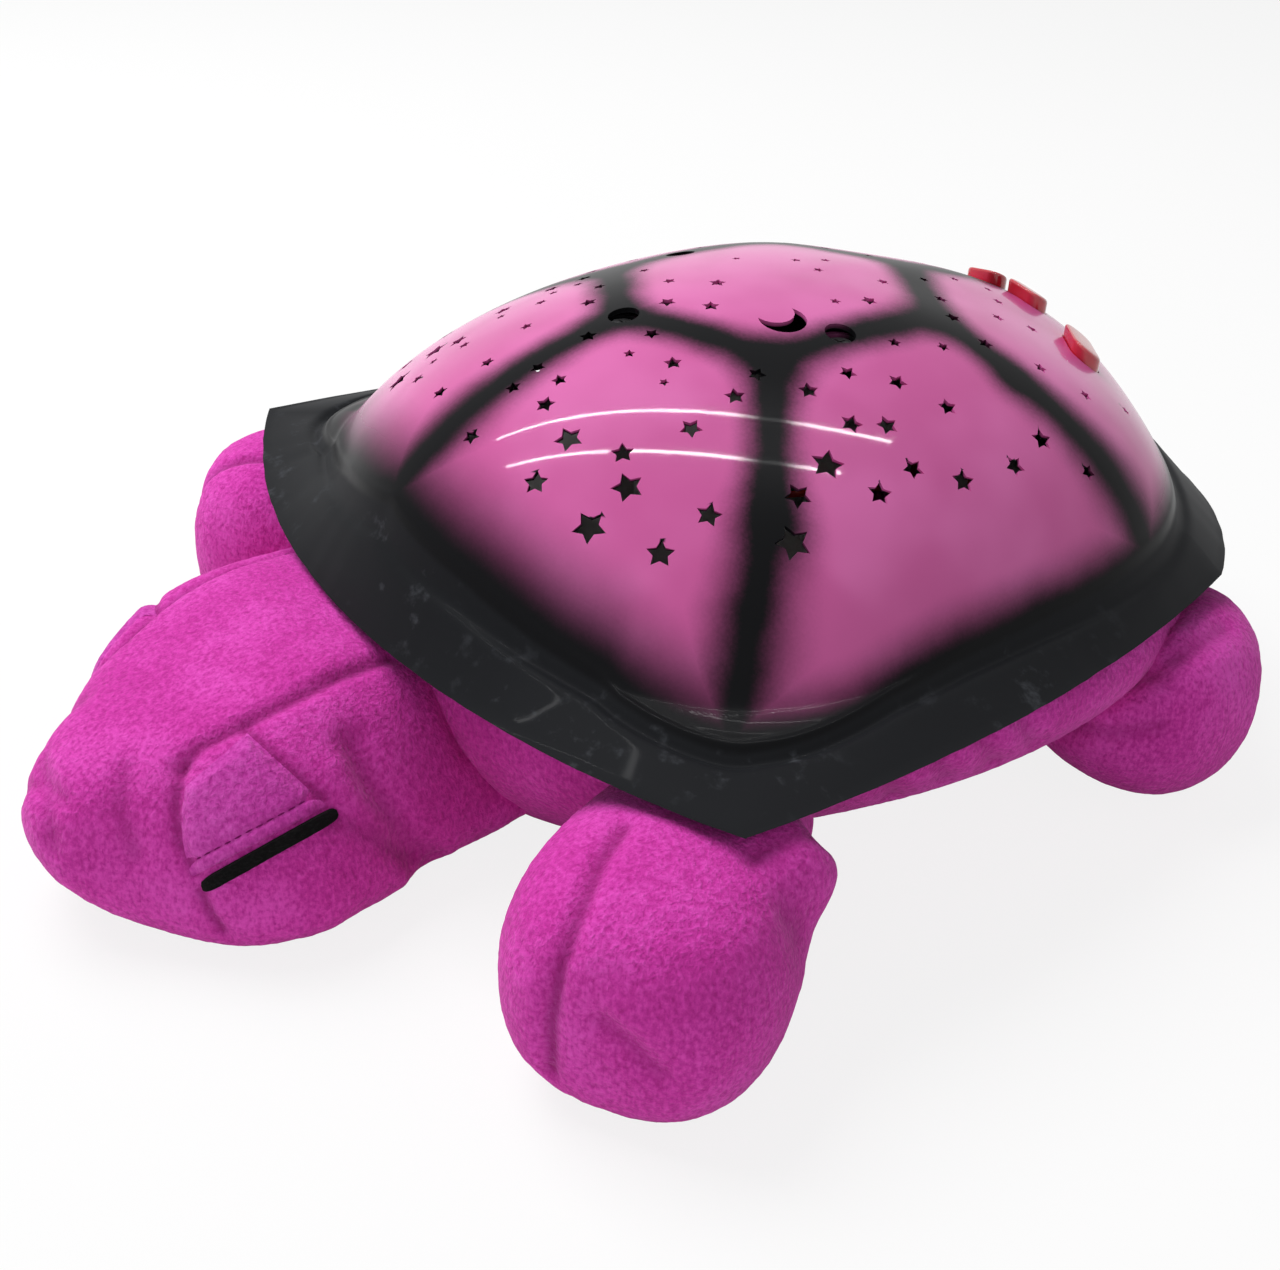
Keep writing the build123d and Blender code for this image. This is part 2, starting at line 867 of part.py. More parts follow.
with BuildPart() as main_board:
    add(block(main_board_place, main_board_size, board_z, board_top_z))
    add(disc(main_screw_places, small_hole, board_z - 1, board_top_z + 1), mode=Mode.SUBTRACT)
save(main_board, "main_board")

with BuildPart() as melody_chip:
    add(disc([(main_x + 4, main_y)], chip_radius, board_top_z, board_top_z + chip_height))
    fillet(melody_chip.faces().sort_by(Axis.Z)[-1].edges(), radius=chip_height * 0.8)
save(melody_chip, "melody_chip")

with BuildPart() as board_components:
    add(disc([(main_x + 8, main_y + 15)], capacitor_radius, board_top_z, board_top_z + capacitor_height))
    add(
        block(
            (main_x + 4, main_y - 17),
            connector_size[:2],
            board_top_z,
            board_top_z + connector_size[2],
        )
    )
save(board_components, "board_components")

# Batteries, contacts, door
cell_z = box_roof_z - cell_radius - cell_clearance
cell_rows = (-cell_pitch, 0.0, cell_pitch)
contact_x = box_half_x - contact_thickness

with BuildPart() as battery_cells:
    for row, offset in enumerate(cell_rows):
        end = 1 if row % 2 else -1
        base = (-end * cell_length / 2, battery_y + offset, cell_z)
        tip = (end * cell_length / 2, battery_y + offset, cell_z)
        with BuildSketch(Plane(origin=base, z_dir=(end, 0, 0))):
            Circle(cell_radius)
        extrude(amount=cell_length)
        with BuildSketch(Plane(origin=tip, z_dir=(end, 0, 0))):
            Circle(cell_nub_radius)
        extrude(amount=cell_nub_height)
save(battery_cells, "battery_cells")

with BuildPart() as battery_contacts:
    for side in (-1, 1):
        for offset in cell_rows:
            add(
                block(
                    (side * (contact_x + contact_thickness / 2), battery_y + offset),
                    (contact_thickness, contact_width),
                    cell_z - contact_width / 2,
                    box_roof_z,
                )
            )
save(battery_contacts, "battery_contacts")

door_low_z = box_floor_z - door_plate
door_half_x = box_half_x + door_overlap
door_half_y = box_half_y + door_overlap
ear_front_y = door_screw_place[1] - door_ear_half
ear_length = battery_y - door_half_y - ear_front_y

with BuildPart() as battery_door:
    add(block((0, battery_y), (2 * door_half_x, 2 * door_half_y), door_low_z, box_floor_z))
    add(
        block(
            (0, ear_front_y + ear_length / 2 + 0.5),
            (2 * door_ear_half, ear_length + 1.0),
            door_low_z,
            box_floor_z,
        )
    )
    with BuildSketch(Plane.XY.offset(box_floor_z)):
        with Locations((0, battery_y)):
            Rectangle(2 * (box_half_x - door_clearance), 2 * (box_half_y - door_clearance))
            Rectangle(
                2 * (box_half_x - door_clearance - door_rim_width),
                2 * (box_half_y - door_clearance - door_rim_width),
                mode=Mode.SUBTRACT,
            )
    extrude(amount=door_rim_height - door_clearance)
    add(
        disc([door_screw_place], small_hole, door_low_z - 1, box_floor_z + 1),
        mode=Mode.SUBTRACT,
    )
save(battery_door, "battery_door")

with BuildPart() as door_screw:
    add(
        pan_screws(
            [door_screw_place],
            door_low_z,
            small_screw_radius,
            small_screw_head,
            small_screw_height,
            door_screw_length,
            up=-1,
        )
    )
save(door_screw, "door_screw")

# Leads
lead_high_z = board_top_z + 9.0
switch_lead_z = (board_top_z + switch_board_z - board_thickness) / 2
lead_routes = (
    (
        (*battery_lead_place, box_roof_z + 0.2),
        (*battery_lead_place, lead_high_z),
        (main_x - 13, battery_y, lead_high_z),
        (main_x - 13, battery_y, board_top_z),
    ),
    (
        (main_x - 11, main_y - 18, board_top_z),
        (main_x - 11, main_y - 18, lead_high_z),
        (0, led_board_y + led_screw_ring, lead_high_z),
        (0, led_board_y + led_screw_ring, board_top_z),
    ),
    (
        (main_x - 6, main_y - 21, board_top_z),
        (main_x - 6, main_y - 21, lead_high_z + 3),
        (clamp_screw_ring, speaker_y, lead_high_z + 3),
        (clamp_screw_ring, speaker_y, tray_z + clamp_height),
    ),
    (
        (main_x - 4, main_y + 23, board_top_z),
        (main_x - 4, main_y + 23, switch_lead_z),
        (30, shell_y + switch_board_y - 2, switch_lead_z),
        (30, shell_y + switch_board_y - 2, switch_board_z - board_thickness),
    ),
)

with BuildPart() as leads:
    for route in lead_routes:
        with BuildLine() as path:
            FilletPolyline(*route, radius=lead_bend)
        with BuildSketch(Plane(origin=route[0], z_dir=(0, 0, 1))):
            Circle(lead_radius)
        sweep(path=path.wires()[0])
save(leads, "leads")

# Stuffed body with the pocket for the works and the belly opening
pocket_half_x = box_half_x + box_wall + plush_clearance
pocket_half_y = box_half_y + box_wall + plush_clearance
belly_half_x = door_half_x + belly_margin
belly_front_y = ear_front_y - belly_margin
belly_rear_y = battery_y + door_half_y + belly_margin
flap_half_x = belly_half_x + flap_margin
flap_front_y = belly_front_y - flap_margin
flap_rear_y = belly_rear_y + tape_ledge
body_low_z = body_sections[0][0]
body_high_z = body_sections[-1][0]

body_form = stuffed(
    [
        (Plane(origin=(0, shell_y + (rear - front) / 2, z)), half_width, (front + rear) / 2)
        for z, half_width, front, rear in body_sections
    ]
)

with BuildPart() as plush_body:
    add(body_form)
    add(
        block((0, battery_y), (2 * pocket_half_x, 2 * pocket_half_y), ledge_z, body_high_z + 1),
        mode=Mode.SUBTRACT,
    )
    add(
        disc(
            [door_screw_place],
            door_boss_radius + plush_clearance,
            ledge_z,
            box_floor_z + door_boss_height + plush_clearance,
        ),
        mode=Mode.SUBTRACT,
    )
    add(
        block(
            (0, (belly_front_y + belly_rear_y) / 2),
            (2 * belly_half_x, belly_rear_y - belly_front_y),
            ledge_z - 1,
            box_floor_z + plush_clearance,
        ),
        mode=Mode.SUBTRACT,
    )
    add(
        block(
            (0, (flap_front_y + flap_rear_y) / 2),
            (2 * flap_half_x, flap_rear_y - flap_front_y),
            body_low_z - 1,
            ledge_z,
        ),
        mode=Mode.SUBTRACT,
    )
    add(
        disc(
            [(0, speaker_y)],
            basket_radius + plush_clearance,
            basket_low_z - magnet_height - plush_clearance,
            body_high_z + 1,
        ),
        mode=Mode.SUBTRACT,
    )
save(plush_body, "plush_body")

# Head, eyelids and sleeping eyes
head_form = head_shape()

with BuildPart() as head:
    add(head_form)
    split(bisect_by=Plane.XY, keep=Keep.TOP)
    add(body_form, mode=Mode.SUBTRACT)
save(head, "head")

for part_name, outline, thickness in (
    ("eyelid", lid_outline, lid_thickness),
    ("eye_strip", strip_outline, strip_thickness),
):
    grown = head_shape(thickness)
    for side_name, side in (("left", 1), ("right", -1)):
        window = prism(Plane(origin=(0, 0, 0), x_dir=(0, 1, 0), z_dir=(1, 0, 0)), outline, side * 80)
        with BuildPart() as patch:
            add(grown)
            add(window, mode=Mode.INTERSECT)
            add(head_form, mode=Mode.SUBTRACT)
        save(patch, f"{part_name}_{side_name}")

# Flippers and tail; the right front flipper lies further back than the left one
for pair_name, root, heading, sections, back in (
    ("front_flipper", front_flipper_root, front_flipper_heading, front_flipper_sections, front_flipper_back),
    ("rear_flipper", rear_flipper_root, rear_flipper_heading, rear_flipper_sections, rear_flipper_back),
):
    for side_name, side, behind in (("left", 1, 0.0), ("right", -1, back)):
        own_root = (side * root[0], root[1] + behind)
        own_heading = (side * heading[0], heading[1])
        with BuildPart() as flipper:
            add(stuffed(limb(own_root, own_heading, sections)))
            split(bisect_by=Plane.XY, keep=Keep.TOP)
            add(body_form, mode=Mode.SUBTRACT)
        save(flipper, f"{pair_name}_{side_name}")

with BuildPart() as tail:
    add(stuffed(lengthwise(tail_sections)))
    add(body_form, mode=Mode.SUBTRACT)
save(tail, "tail")

# Belly flap and its tape
tape_y = flap_rear_y - tape_ledge / 2
flap_top_z = flap_z + flap_thickness

with BuildPart() as belly_flap:
    add(
        block(
            (0, (flap_front_y + flap_rear_y) / 2),
            (2 * (flap_half_x - flap_clearance), flap_rear_y - flap_front_y - 2 * flap_clearance),
            flap_z,
            flap_top_z,
        )
    )
save(belly_flap, "belly_flap")

with BuildPart() as hook_tape:
    add(block((0, tape_y), (tape_length, tape_width), flap_top_z, flap_top_z + tape_thickness))
save(hook_tape, "hook_tape")

with BuildPart() as loop_tape:
    add(block((0, tape_y), (tape_length, tape_width), ledge_z - tape_thickness, ledge_z))
save(loop_tape, "loop_tape")
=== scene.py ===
"""Looks of the musical night light: a plush turtle with a glossy star-pierced shell.

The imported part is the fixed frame. Every piece made here sits in that frame, in metres, and rides on
one of its bodies. Sizes are written in millimetres and turned into metres where a mesh is made.
"""

import json
import logging
import math
from dataclasses import dataclass, field
from enum import Enum
from typing import ClassVar, Optional, Sequence, Union

import bpy
import numpy as np
from mathutils import Matrix, Vector, noise
from mathutils.bvhtree import BVHTree
from mathutils.kdtree import KDTree

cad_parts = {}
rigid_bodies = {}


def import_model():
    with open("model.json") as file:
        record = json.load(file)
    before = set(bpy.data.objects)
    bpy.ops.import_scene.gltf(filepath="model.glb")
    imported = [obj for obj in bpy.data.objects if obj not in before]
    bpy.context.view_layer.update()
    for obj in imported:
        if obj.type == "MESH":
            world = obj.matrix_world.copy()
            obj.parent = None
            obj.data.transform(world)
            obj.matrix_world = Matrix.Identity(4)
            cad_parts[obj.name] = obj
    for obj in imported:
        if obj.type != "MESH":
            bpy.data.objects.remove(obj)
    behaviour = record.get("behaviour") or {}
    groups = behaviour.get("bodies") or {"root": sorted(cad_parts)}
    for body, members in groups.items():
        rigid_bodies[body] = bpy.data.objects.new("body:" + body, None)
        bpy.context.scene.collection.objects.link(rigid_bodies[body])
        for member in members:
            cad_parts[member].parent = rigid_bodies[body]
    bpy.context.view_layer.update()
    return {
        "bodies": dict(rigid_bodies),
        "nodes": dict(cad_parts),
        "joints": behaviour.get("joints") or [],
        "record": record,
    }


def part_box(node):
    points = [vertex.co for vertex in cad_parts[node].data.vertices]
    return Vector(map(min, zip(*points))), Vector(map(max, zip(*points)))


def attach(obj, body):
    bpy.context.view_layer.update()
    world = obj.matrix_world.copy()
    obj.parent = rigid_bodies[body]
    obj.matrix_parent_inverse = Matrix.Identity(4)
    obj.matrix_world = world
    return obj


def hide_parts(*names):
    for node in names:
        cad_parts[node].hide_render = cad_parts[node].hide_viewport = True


MM = 0.001
ROOT_BODY = "night_light"
LOG = logging.getLogger("night_light")

Colour = tuple[float, float, float]
Pixel = tuple[float, float]
Plan = tuple[float, float]
Span = tuple[float, float]
Stretch = tuple[float, float, float]
Value = Union[float, Sequence[float], "Tone"]

WHITE: Colour = (1.0, 1.0, 1.0)
UPRIGHT = Vector((0, 0, 1))
CLOTH_FRAMES = 20


# Shader maths


class Tone:
    """One shader socket that takes part in Python arithmetic."""

    def __init__(self, finisher: "Finisher", socket: bpy.types.NodeSocket) -> None:
        """Keep the socket and the node maker of its tree."""
        self.finisher = finisher
        self.socket = socket

    def _math(self, operation: str, *values: Value) -> "Tone":
        """Add one Math node on up to three values or links."""
        return self.finisher.node("ShaderNodeMath", {"operation": operation}, dict(enumerate(values)))

    def __add__(self, other: Value) -> "Tone":
        """Sum."""
        return self._math("ADD", self, other)

    __radd__ = __add__

    def __sub__(self, other: Value) -> "Tone":
        """Difference."""
        return self._math("SUBTRACT", self, other)

    def __rsub__(self, other: Value) -> "Tone":
        """Difference, reflected."""
        return self._math("SUBTRACT", other, self)

    def __mul__(self, other: Value) -> "Tone":
        """Product."""
        return self._math("MULTIPLY", self, other)

    def __truediv__(self, other: Value) -> "Tone":
        """Quotient."""
        return self._math("DIVIDE", self, other)

    def __abs__(self) -> "Tone":
        """Size without its sign."""
        return self._math("ABSOLUTE", self)

    def root(self) -> "Tone":
        """Square root."""
        return self._math("SQRT", self)

    def least(self, other: Value) -> "Tone":
        """The smaller of two values."""
        return self._math("MINIMUM", self, other)

    def soft_least(self, other: Value, blend: float) -> "Tone":
        """The smaller of two values, rounded off where they come within blend of each other."""
        return self._math("SMOOTH_MIN", self, other, blend)

    def most(self, other: Value) -> "Tone":
        """The larger of two values."""
        return self._math("MAXIMUM", self, other)

    def step(self, low: float, high: float) -> "Tone":
        """Soft step from 0 at low to 1 at high.

        Args:
            low: The value where the step starts.
            high: The value where it ends. It may be below low, and then the step falls.

        Returns:
            The stepped value.
        """
        if low > high:
            return 1 - self.step(high, low)
        return self.finisher.node(
            "ShaderNodeMapRange",
            {"interpolation_type": "SMOOTHSTEP"},
            {"Value": self, "From Min": low, "From Max": high},
        )


class Nodes:
    """Adds nodes to one tree."""

    def __init__(self, tree: bpy.types.NodeTree) -> None:
        """Keep the tree."""
        self.tree = tree

    def add(self, kind: str, settings: dict, inputs: dict) -> bpy.types.Node:
        """Add a node.

        Args:
            kind: The node's type.
            settings: Its settings, set first.
            inputs: Values or links of its sockets, by name or number. A list holds several links.

        Returns:
            The node.
        """
        made = self.tree.nodes.new(kind)
        for key, value in settings.items():
            setattr(made, key, value)
        for key, value in inputs.items():
            socket = made.inputs[key]
            for given in value if isinstance(value, list) else [value]:
                link = given.socket if isinstance(given, Tone) else given
                if isinstance(link, bpy.types.NodeSocket):
                    self.tree.links.new(link, socket)
                elif socket.type == "RGBA":
                    socket.default_value = (*link, 1.0)
                else:
                    socket.default_value = link
        return made


class Finisher(Nodes):
    """Makes the nodes of one material, or of the world."""

    def __init__(self, owner: Union[bpy.types.Material, bpy.types.World]) -> None:
        """Start with an empty tree.

        Args:
            owner: The new material, or the world.
        """
        owner.use_nodes = True
        super().__init__(owner.node_tree)
        self.owner = owner
        self.tree.nodes.clear()

    def node(self, kind: str, settings: dict, inputs: dict, output: Union[int, str] = 0) -> Tone:
        """Add a node, and take the output of a name or number."""
        return Tone(self, self.add(kind, settings, inputs).outputs[output])

    def place(self) -> Tone:
        """Object coordinates, in metres."""
        return self.node("ShaderNodeTexCoord", {}, {}, "Object")

    def axes(self, vector: Tone) -> list[Tone]:
        """The three parts of a vector."""
        split = self.add("ShaderNodeSeparateXYZ", {}, {0: vector})
        return [Tone(self, output) for output in split.outputs]

    def noted(self, name: str) -> Tone:
        """A value noted on the piece's points."""
        return self.node("ShaderNodeAttribute", {"attribute_name": name}, {}, "Fac")

    def seen(self) -> Tone:
        """Tell what the eye sees from what only lights the scene.

        Returns:
            1 for what is seen straight, mirrored or through glass, and otherwise 0.
        """
        rays = ("Camera", "Glossy", "Transmission")
        camera, glossy, through = (
            self.node("ShaderNodeLightPath", {}, {}, f"Is {ray} Ray") for ray in rays
        )
        return camera.most(glossy.most(through))

    def grain(self, size_mm: float, detail: float = 2.0, stretch: Sequence[float] = (1, 1, 1)) -> Tone:
        """Noise on Object coordinates.

        Args:
            size_mm: The grain's size.
            detail: How many finer layers it has.
            stretch: Its length along each axis, as a share of its size.

        Returns:
            The noise, about 0 to 1.
        """
        scale = tuple(1 / share for share in stretch)
        spread = self.node("ShaderNodeMapping", {}, {"Vector": self.place(), "Scale": scale})
        return self.node(
            "ShaderNodeTexNoise",
            {},
            {"Vector": spread, "Scale": 1 / (size_mm * MM), "Detail": detail, "Roughness": 0.6},
        )

    def mix(self, factor: Value, first: Value, second: Value) -> Tone:
        """Mix two colours by the share of the second."""
        return self.node("ShaderNodeMix", {"data_type": "RGBA"}, {0: factor, 6: first, 7: second}, 2)

    def bump(self, height: Tone, depth_mm: float, strength: float) -> Tone:
        """Normal of a height of about 0 to 1, where 1 stands for a depth."""
        sockets = {"Height": height, "Distance": depth_mm * MM, "Strength": strength}
        return self.node("ShaderNodeBump", {}, sockets)

    def finish(self, **sockets: Value) -> bpy.types.Material:
        """Close the material with a Principled shader, its sockets named with _ for a space."""
        named = {name.replace("_", " "): value for name, value in sockets.items()}
        return self.close(self.node("ShaderNodeBsdfPrincipled", {}, named))

    def close(
        self, shader: Tone, output: str = "ShaderNodeOutputMaterial"
    ) -> Union[bpy.types.Material, bpy.types.World]:
        """Link a shader to the tree's output, and give the tree's owner."""
        self.add(output, {}, {"Surface": shader})
        return self.owner


# Finishes


@dataclass(frozen=True)
class PlushFinish:
    """Short-pile plush whose nap lies lighter and darker in patches, with painted shade along its sunk folds
    and seams.
    """

    FOLD_NAME: ClassVar[str] = "fold_shade"
    name: str
    base: Colour = (0.72, 0.055, 0.455)
    shade: Colour = (0.47, 0.022, 0.265)
    tip: Colour = (0.86, 0.115, 0.615)
    crease_shade: Colour = (0.17, 0.006, 0.085)
    tuft_mm: float = 1.3
    tuft_share: float = 0.65
    strand_mm: float = 0.715
    strand_stretch: Stretch = (1.0, 1.0, 3.2)
    nap_mm: float = 26.0
    lit_weights: Span = (0.9, 0.25)
    lit_span: Span = (0.34, 0.72)
    tip_weights: Span = (0.7, 0.5)
    tip_span: Span = (0.55, 0.85)
    tip_share: float = 0.7
    fold_weights: Span = (0.7, 0.5)
    crease_shade_share: float = 0.8
    pile_rise: float = 1.1
    pile_bump: float = 0.8
    roughness: float = 0.92
    specular: float = 0.12
    sheen: float = 0.22
    sheen_roughness: float = 0.45
    sheen_tint: Colour = (1.0, 0.5, 0.85)

    def make(self) -> bpy.types.Material:
        """Build the material.

        Returns:
            The material.
        """
        f = Finisher(bpy.data.materials.new(self.name))
        tufts = f.grain(self.tuft_mm, 3.0)
        strands = f.grain(self.strand_mm, 2.0, self.strand_stretch)
        pile = tufts * self.tuft_share + strands * (1 - self.tuft_share)
        nap = f.grain(self.nap_mm, 2.0)
        (lit_pile, lit_nap), (tip_pile, tip_nap) = self.lit_weights, self.tip_weights
        lit = (pile * lit_pile + nap * lit_nap).step(*self.lit_span)
        low = f.mix(lit, self.shade, self.base)
        tips = (pile * tip_pile + nap * tip_nap).step(*self.tip_span)
        soft = f.mix(tips * self.tip_share, low, self.tip)
        # Painted shade along sunk folds and seams, noted on the points and broken up by the pile.
        even, by_pile = self.fold_weights
        fold = (f.noted(self.FOLD_NAME) * (even + pile * by_pile)).least(1)
        return f.finish(
            Base_Color=f.mix(fold * self.crease_shade_share, soft, self.crease_shade),
            Roughness=self.roughness,
            Specular_IOR_Level=self.specular,
            Sheen_Weight=self.sheen,
            Sheen_Roughness=self.sheen_roughness,
            Sheen_Tint=self.sheen_tint,
            Normal=f.bump(pile, self.pile_rise, self.pile_bump),
        )


@dataclass(frozen=True)
class FeltFinish:
    """Matted felt or woven tape."""

    name: str
    base: Colour
    light: Colour
    fibre_mm: float = 0.5
    fibre_stretch: Stretch = (1.0, 2.5, 1.0)
    fibre_span: Span = (0.4, 0.8)
    fibre_rise: float = 0.3
    fibre_bump: float = 0.6
    roughness: float = 0.95
    specular: float = 0.1

    def make(self) -> bpy.types.Material:
        """Build the material.

        Returns:
            The material.
        """
        f = Finisher(bpy.data.materials.new(self.name))
        fibres = f.grain(self.fibre_mm, 3.0, self.fibre_stretch)
        return f.finish(
            Base_Color=f.mix(fibres.step(*self.fibre_span), self.base, self.light),
            Roughness=self.roughness,
            Specular_IOR_Level=self.specular,
            Normal=f.bump(fibres, self.fibre_rise, self.fibre_bump),
        )


@dataclass(frozen=True)
class MouldedFinish:
    """Moulded plastic, painted metal, steel or board, with a fine grain and rubbed patches."""

    name: str
    base: Colour
    worn: Colour
    roughness: float = 0.4
    metallic: float = 0.0
    coat: float = 0.0
    patch_mm: float = 9.0
    worn_span: Span = (0.45, 0.8)
    patch_roughness: float = 0.18
    grain_mm: float = 0.7
    relief_mm: float = 0.03
    relief_bump: float = 0.35

    def make(self) -> bpy.types.Material:
        """Build the material.

        Returns:
            The material.
        """
        f = Finisher(bpy.data.materials.new(self.name))
        rubbed = f.grain(self.patch_mm, 3.0)
        grain = f.grain(self.grain_mm, 2.0)
        return f.finish(
            Base_Color=f.mix(rubbed.step(*self.worn_span), self.base, self.worn),
            Roughness=self.roughness + (rubbed - 0.5) * self.patch_roughness,
            Metallic=self.metallic,
            Coat_Weight=self.coat,
            Normal=f.bump(grain, self.relief_mm, self.relief_bump),
        )


@dataclass(frozen=True)
class BoardFinish:
    """Green circuit board with pale tracks."""

    name: str
    mask: Colour = (0.02, 0.13, 0.05)
    track: Colour = (0.05, 0.24, 0.09)
    pitch_mm: float = 2.54
    pitches: int = 4
    track_width: float = 0.03
    smear_mm: float = 6.0
    smear_roughness: float = 0.2
    roughness: float = 0.25
    coat: float = 0.4

    def make(self) -> bpy.types.Material:
        """Build the material.

        Returns:
            The material.
        """
        f = Finisher(bpy.data.materials.new(self.name))
        scale = 1 / (self.pitch_mm * self.pitches * MM)
        sizes = {"Vector": f.place(), "Scale": scale, "Mortar Size": self.track_width}
        colours = {"Color1": self.mask, "Color2": self.mask, "Mortar": self.track}
        cells = f.node("ShaderNodeTexBrick", {}, {**sizes, **colours})
        rough = f.grain(self.smear_mm) * self.smear_roughness + self.roughness
        return f.finish(Base_Color=cells, Roughness=rough, Coat_Weight=self.coat)


@dataclass(frozen=True)
class ShellFinish:
    """Glossy pink shell with airbrushed black bands along its plates, and a black rim."""

    name: str = "shell_gloss"
    pink: Colour = (0.60, 0.098, 0.335)
    pale: Colour = (0.70, 0.145, 0.425)
    black: Colour = (0.0066, 0.0068, 0.0078)
    rim_grey: Colour = (0.0115, 0.0122, 0.0140)
    scuff: Colour = (0.055, 0.058, 0.066)
    middle_y: float = 27.0
    band_core: float = 1.6
    band_fade: float = 10.2
    band_spread: float = 6.5
    spread_heights: Span = (62.0, 8.0)
    corner_blend: float = 11.0
    side_fade: float = 15.0
    front_fade: float = 29.0
    front_span: Span = (-42.0, -78.0)
    fade_start: float = 0.13
    fade_spray: float = 0.7
    rim_heights: Span = (0.5, -1.5)
    cloud_mm: float = 34.0
    cloud_span: Span = (0.35, 0.7)
    drift_mm: float = 14.0
    drift_reach: float = 3.0
    speck_mm: float = 0.8
    speck_reach: float = 1.2
    scuff_mm: float = 7.0
    scuff_span: Span = (0.56, 0.74)
    scuff_patch_mm: float = 55.0
    scuff_patch_span: Span = (0.45, 0.62)
    scuff_share: float = 0.8
    ripple_mm: float = 30.0
    pore_mm: float = 2.2
    pore_share: float = 0.02
    ripple_rise: float = 0.35
    ripple_bump: float = 0.5
    roughness: float = 0.24
    dark_roughness: float = 0.05
    rim_roughness: float = 0.22
    scuff_roughness: float = 0.15
    coat: float = 0.42
    least_coat: float = 0.015
    coat_roughness: float = 0.05
    specular: float = 0.04
    plates: tuple[tuple[Plan, Plan], ...] = (
        ((0.0, -43.0), (0.0, -125.0)),
        ((0.0, -43.0), (34.5, -24.0)),
        ((34.5, -24.0), (33.5, 27.5)),
        ((33.5, 27.5), (0.0, 46.0)),
        ((34.5, -24.0), (67.0, -47.0)),
        ((67.0, -47.0), (98.0, -78.0)),
        ((33.5, 27.5), (56.0, 34.0)),
        ((56.0, 34.0), (92.0, 56.0)),
        ((0.0, 46.0), (0.0, 140.0)),
    )

    def make(self) -> bpy.types.Material:
        """Build the material.

        Returns:
            The material.
        """
        f = Finisher(bpy.data.materials.new(self.name))
        x, y, _ = f.axes(f.place())
        across = abs(x) * (1 / MM)
        along = y * (1 / MM) - self.middle_y
        drift = (f.grain(self.drift_mm, 2.0) - 0.5) * self.drift_reach
        spray = drift + (f.grain(self.speck_mm, 1.0) - 0.5) * self.speck_reach
        near, *others = (self.distance(across, along, *ends) for ends in self.plates)
        for gap in others:
            near = near.soft_least(gap, self.corner_blend)
        # Inside faces carry a height far below the crease, so the fade paints them dark as painted shade.
        above = f.noted(Shell.HEIGHT_NAME)
        spread = above.step(*self.spread_heights) * self.band_spread
        fade = spread + (self.band_fade - self.band_core)
        band = ((near + spray - self.band_core) / fade).step(1.0, 0.0)
        reach = self.side_fade + along.step(*self.front_span) * (self.front_fade - self.side_fade)
        low = ((above + spray * self.fade_spray) / reach).step(1.0, self.fade_start)
        dark = band.most(low)
        pink = f.mix(f.grain(self.cloud_mm, 2.0).step(*self.cloud_span), self.pink, self.pale)
        rim = above.step(*self.rim_heights)
        patches = f.grain(self.scuff_patch_mm, 1.0).step(*self.scuff_patch_span)
        rubbed = f.grain(self.scuff_mm, 4.0).step(*self.scuff_span) * patches * rim
        ink = f.mix(rubbed * self.scuff_share, f.mix(rim, self.black, self.rim_grey), self.scuff)
        ripple = f.grain(self.ripple_mm, 1.0) + f.grain(self.pore_mm, 1.0) * self.pore_share
        rough = self.roughness + dark * self.dark_roughness + rim * self.rim_roughness
        return f.finish(
            Base_Color=f.mix(dark, pink, ink),
            Roughness=rough + rubbed * self.scuff_roughness,
            Coat_Weight=(1 - rim) * (1 - dark) * self.coat + self.least_coat,
            Coat_Roughness=self.coat_roughness,
            Specular_IOR_Level=self.specular,
            Normal=f.bump(ripple, self.ripple_rise, self.ripple_bump),
        )

    @staticmethod
    def distance(across: Tone, along: Tone, start: Plan, end: Plan) -> Tone:
        """Plan distance from a band's line.

        Args:
            across: Distance from the middle plane.
            along: Place along the shell.
            start: One end of the line.
            end: The other end.

        Returns:
            The distance, in millimetres.
        """
        run_x, run_y = end[0] - start[0], end[1] - start[1]
        square = run_x * run_x + run_y * run_y
        off_x = across - start[0]
        off_y = along - start[1]
        share = (off_x * (run_x / square) + off_y * (run_y / square)).least(1).most(0)
        gap_x = off_x - share * run_x
        gap_y = off_y - share * run_y
        return (gap_x * gap_x + gap_y * gap_y).root()


# Mesh helpers


def vectors(items: bpy.types.bpy_prop_collection, key: str) -> np.ndarray:
    """Read one vector of every item of a mesh.

    Args:
        items: The mesh's vertices, or their normals.
        key: The vector's name.

    Returns:
        The vectors, one to a row.
    """
    flat = np.empty(len(items) * 3, np.float32)
    items.foreach_get(key, flat)
    return flat.reshape(-1, 3).astype(float)


def points_of(mesh: bpy.types.Mesh) -> np.ndarray:
    """Vertex places of a mesh, in metres."""
    return vectors(mesh.vertices, "co")


def set_points(mesh: bpy.types.Mesh, points: np.ndarray) -> None:
    """Move the vertices of a mesh."""
    mesh.vertices.foreach_set("co", points.astype(np.float32).ravel())
    mesh.update()


def normals_of(mesh: bpy.types.Mesh) -> np.ndarray:
    """Vertex normals of a mesh."""
    return vectors(mesh.vertex_normals, "vector")


def new_object(name: str, mesh: bpy.types.Mesh) -> bpy.types.Object:
    """Put a mesh into the scene.

    Args:
        name: The object's name.
        mesh: Its mesh.

    Returns:
        The object.
    """
    made = bpy.data.objects.new(name, mesh)
    bpy.context.scene.collection.objects.link(made)
    return made


def mesh_from(name: str, points: np.ndarray, faces: Sequence[Sequence[int]]) -> bpy.types.Mesh:
    """Make a mesh from places in millimetres.

    Args:
        name: The mesh's name.
        points: Vertex places.
        faces: Vertex numbers of each face.

    Returns:
        The mesh.
    """
    mesh = bpy.data.meshes.new(name)
    whole = [tuple(int(v) for v in face) for face in faces]
    mesh.from_pydata((np.asarray(points) * MM).tolist(), [], whole)
    mesh.update()
    return mesh


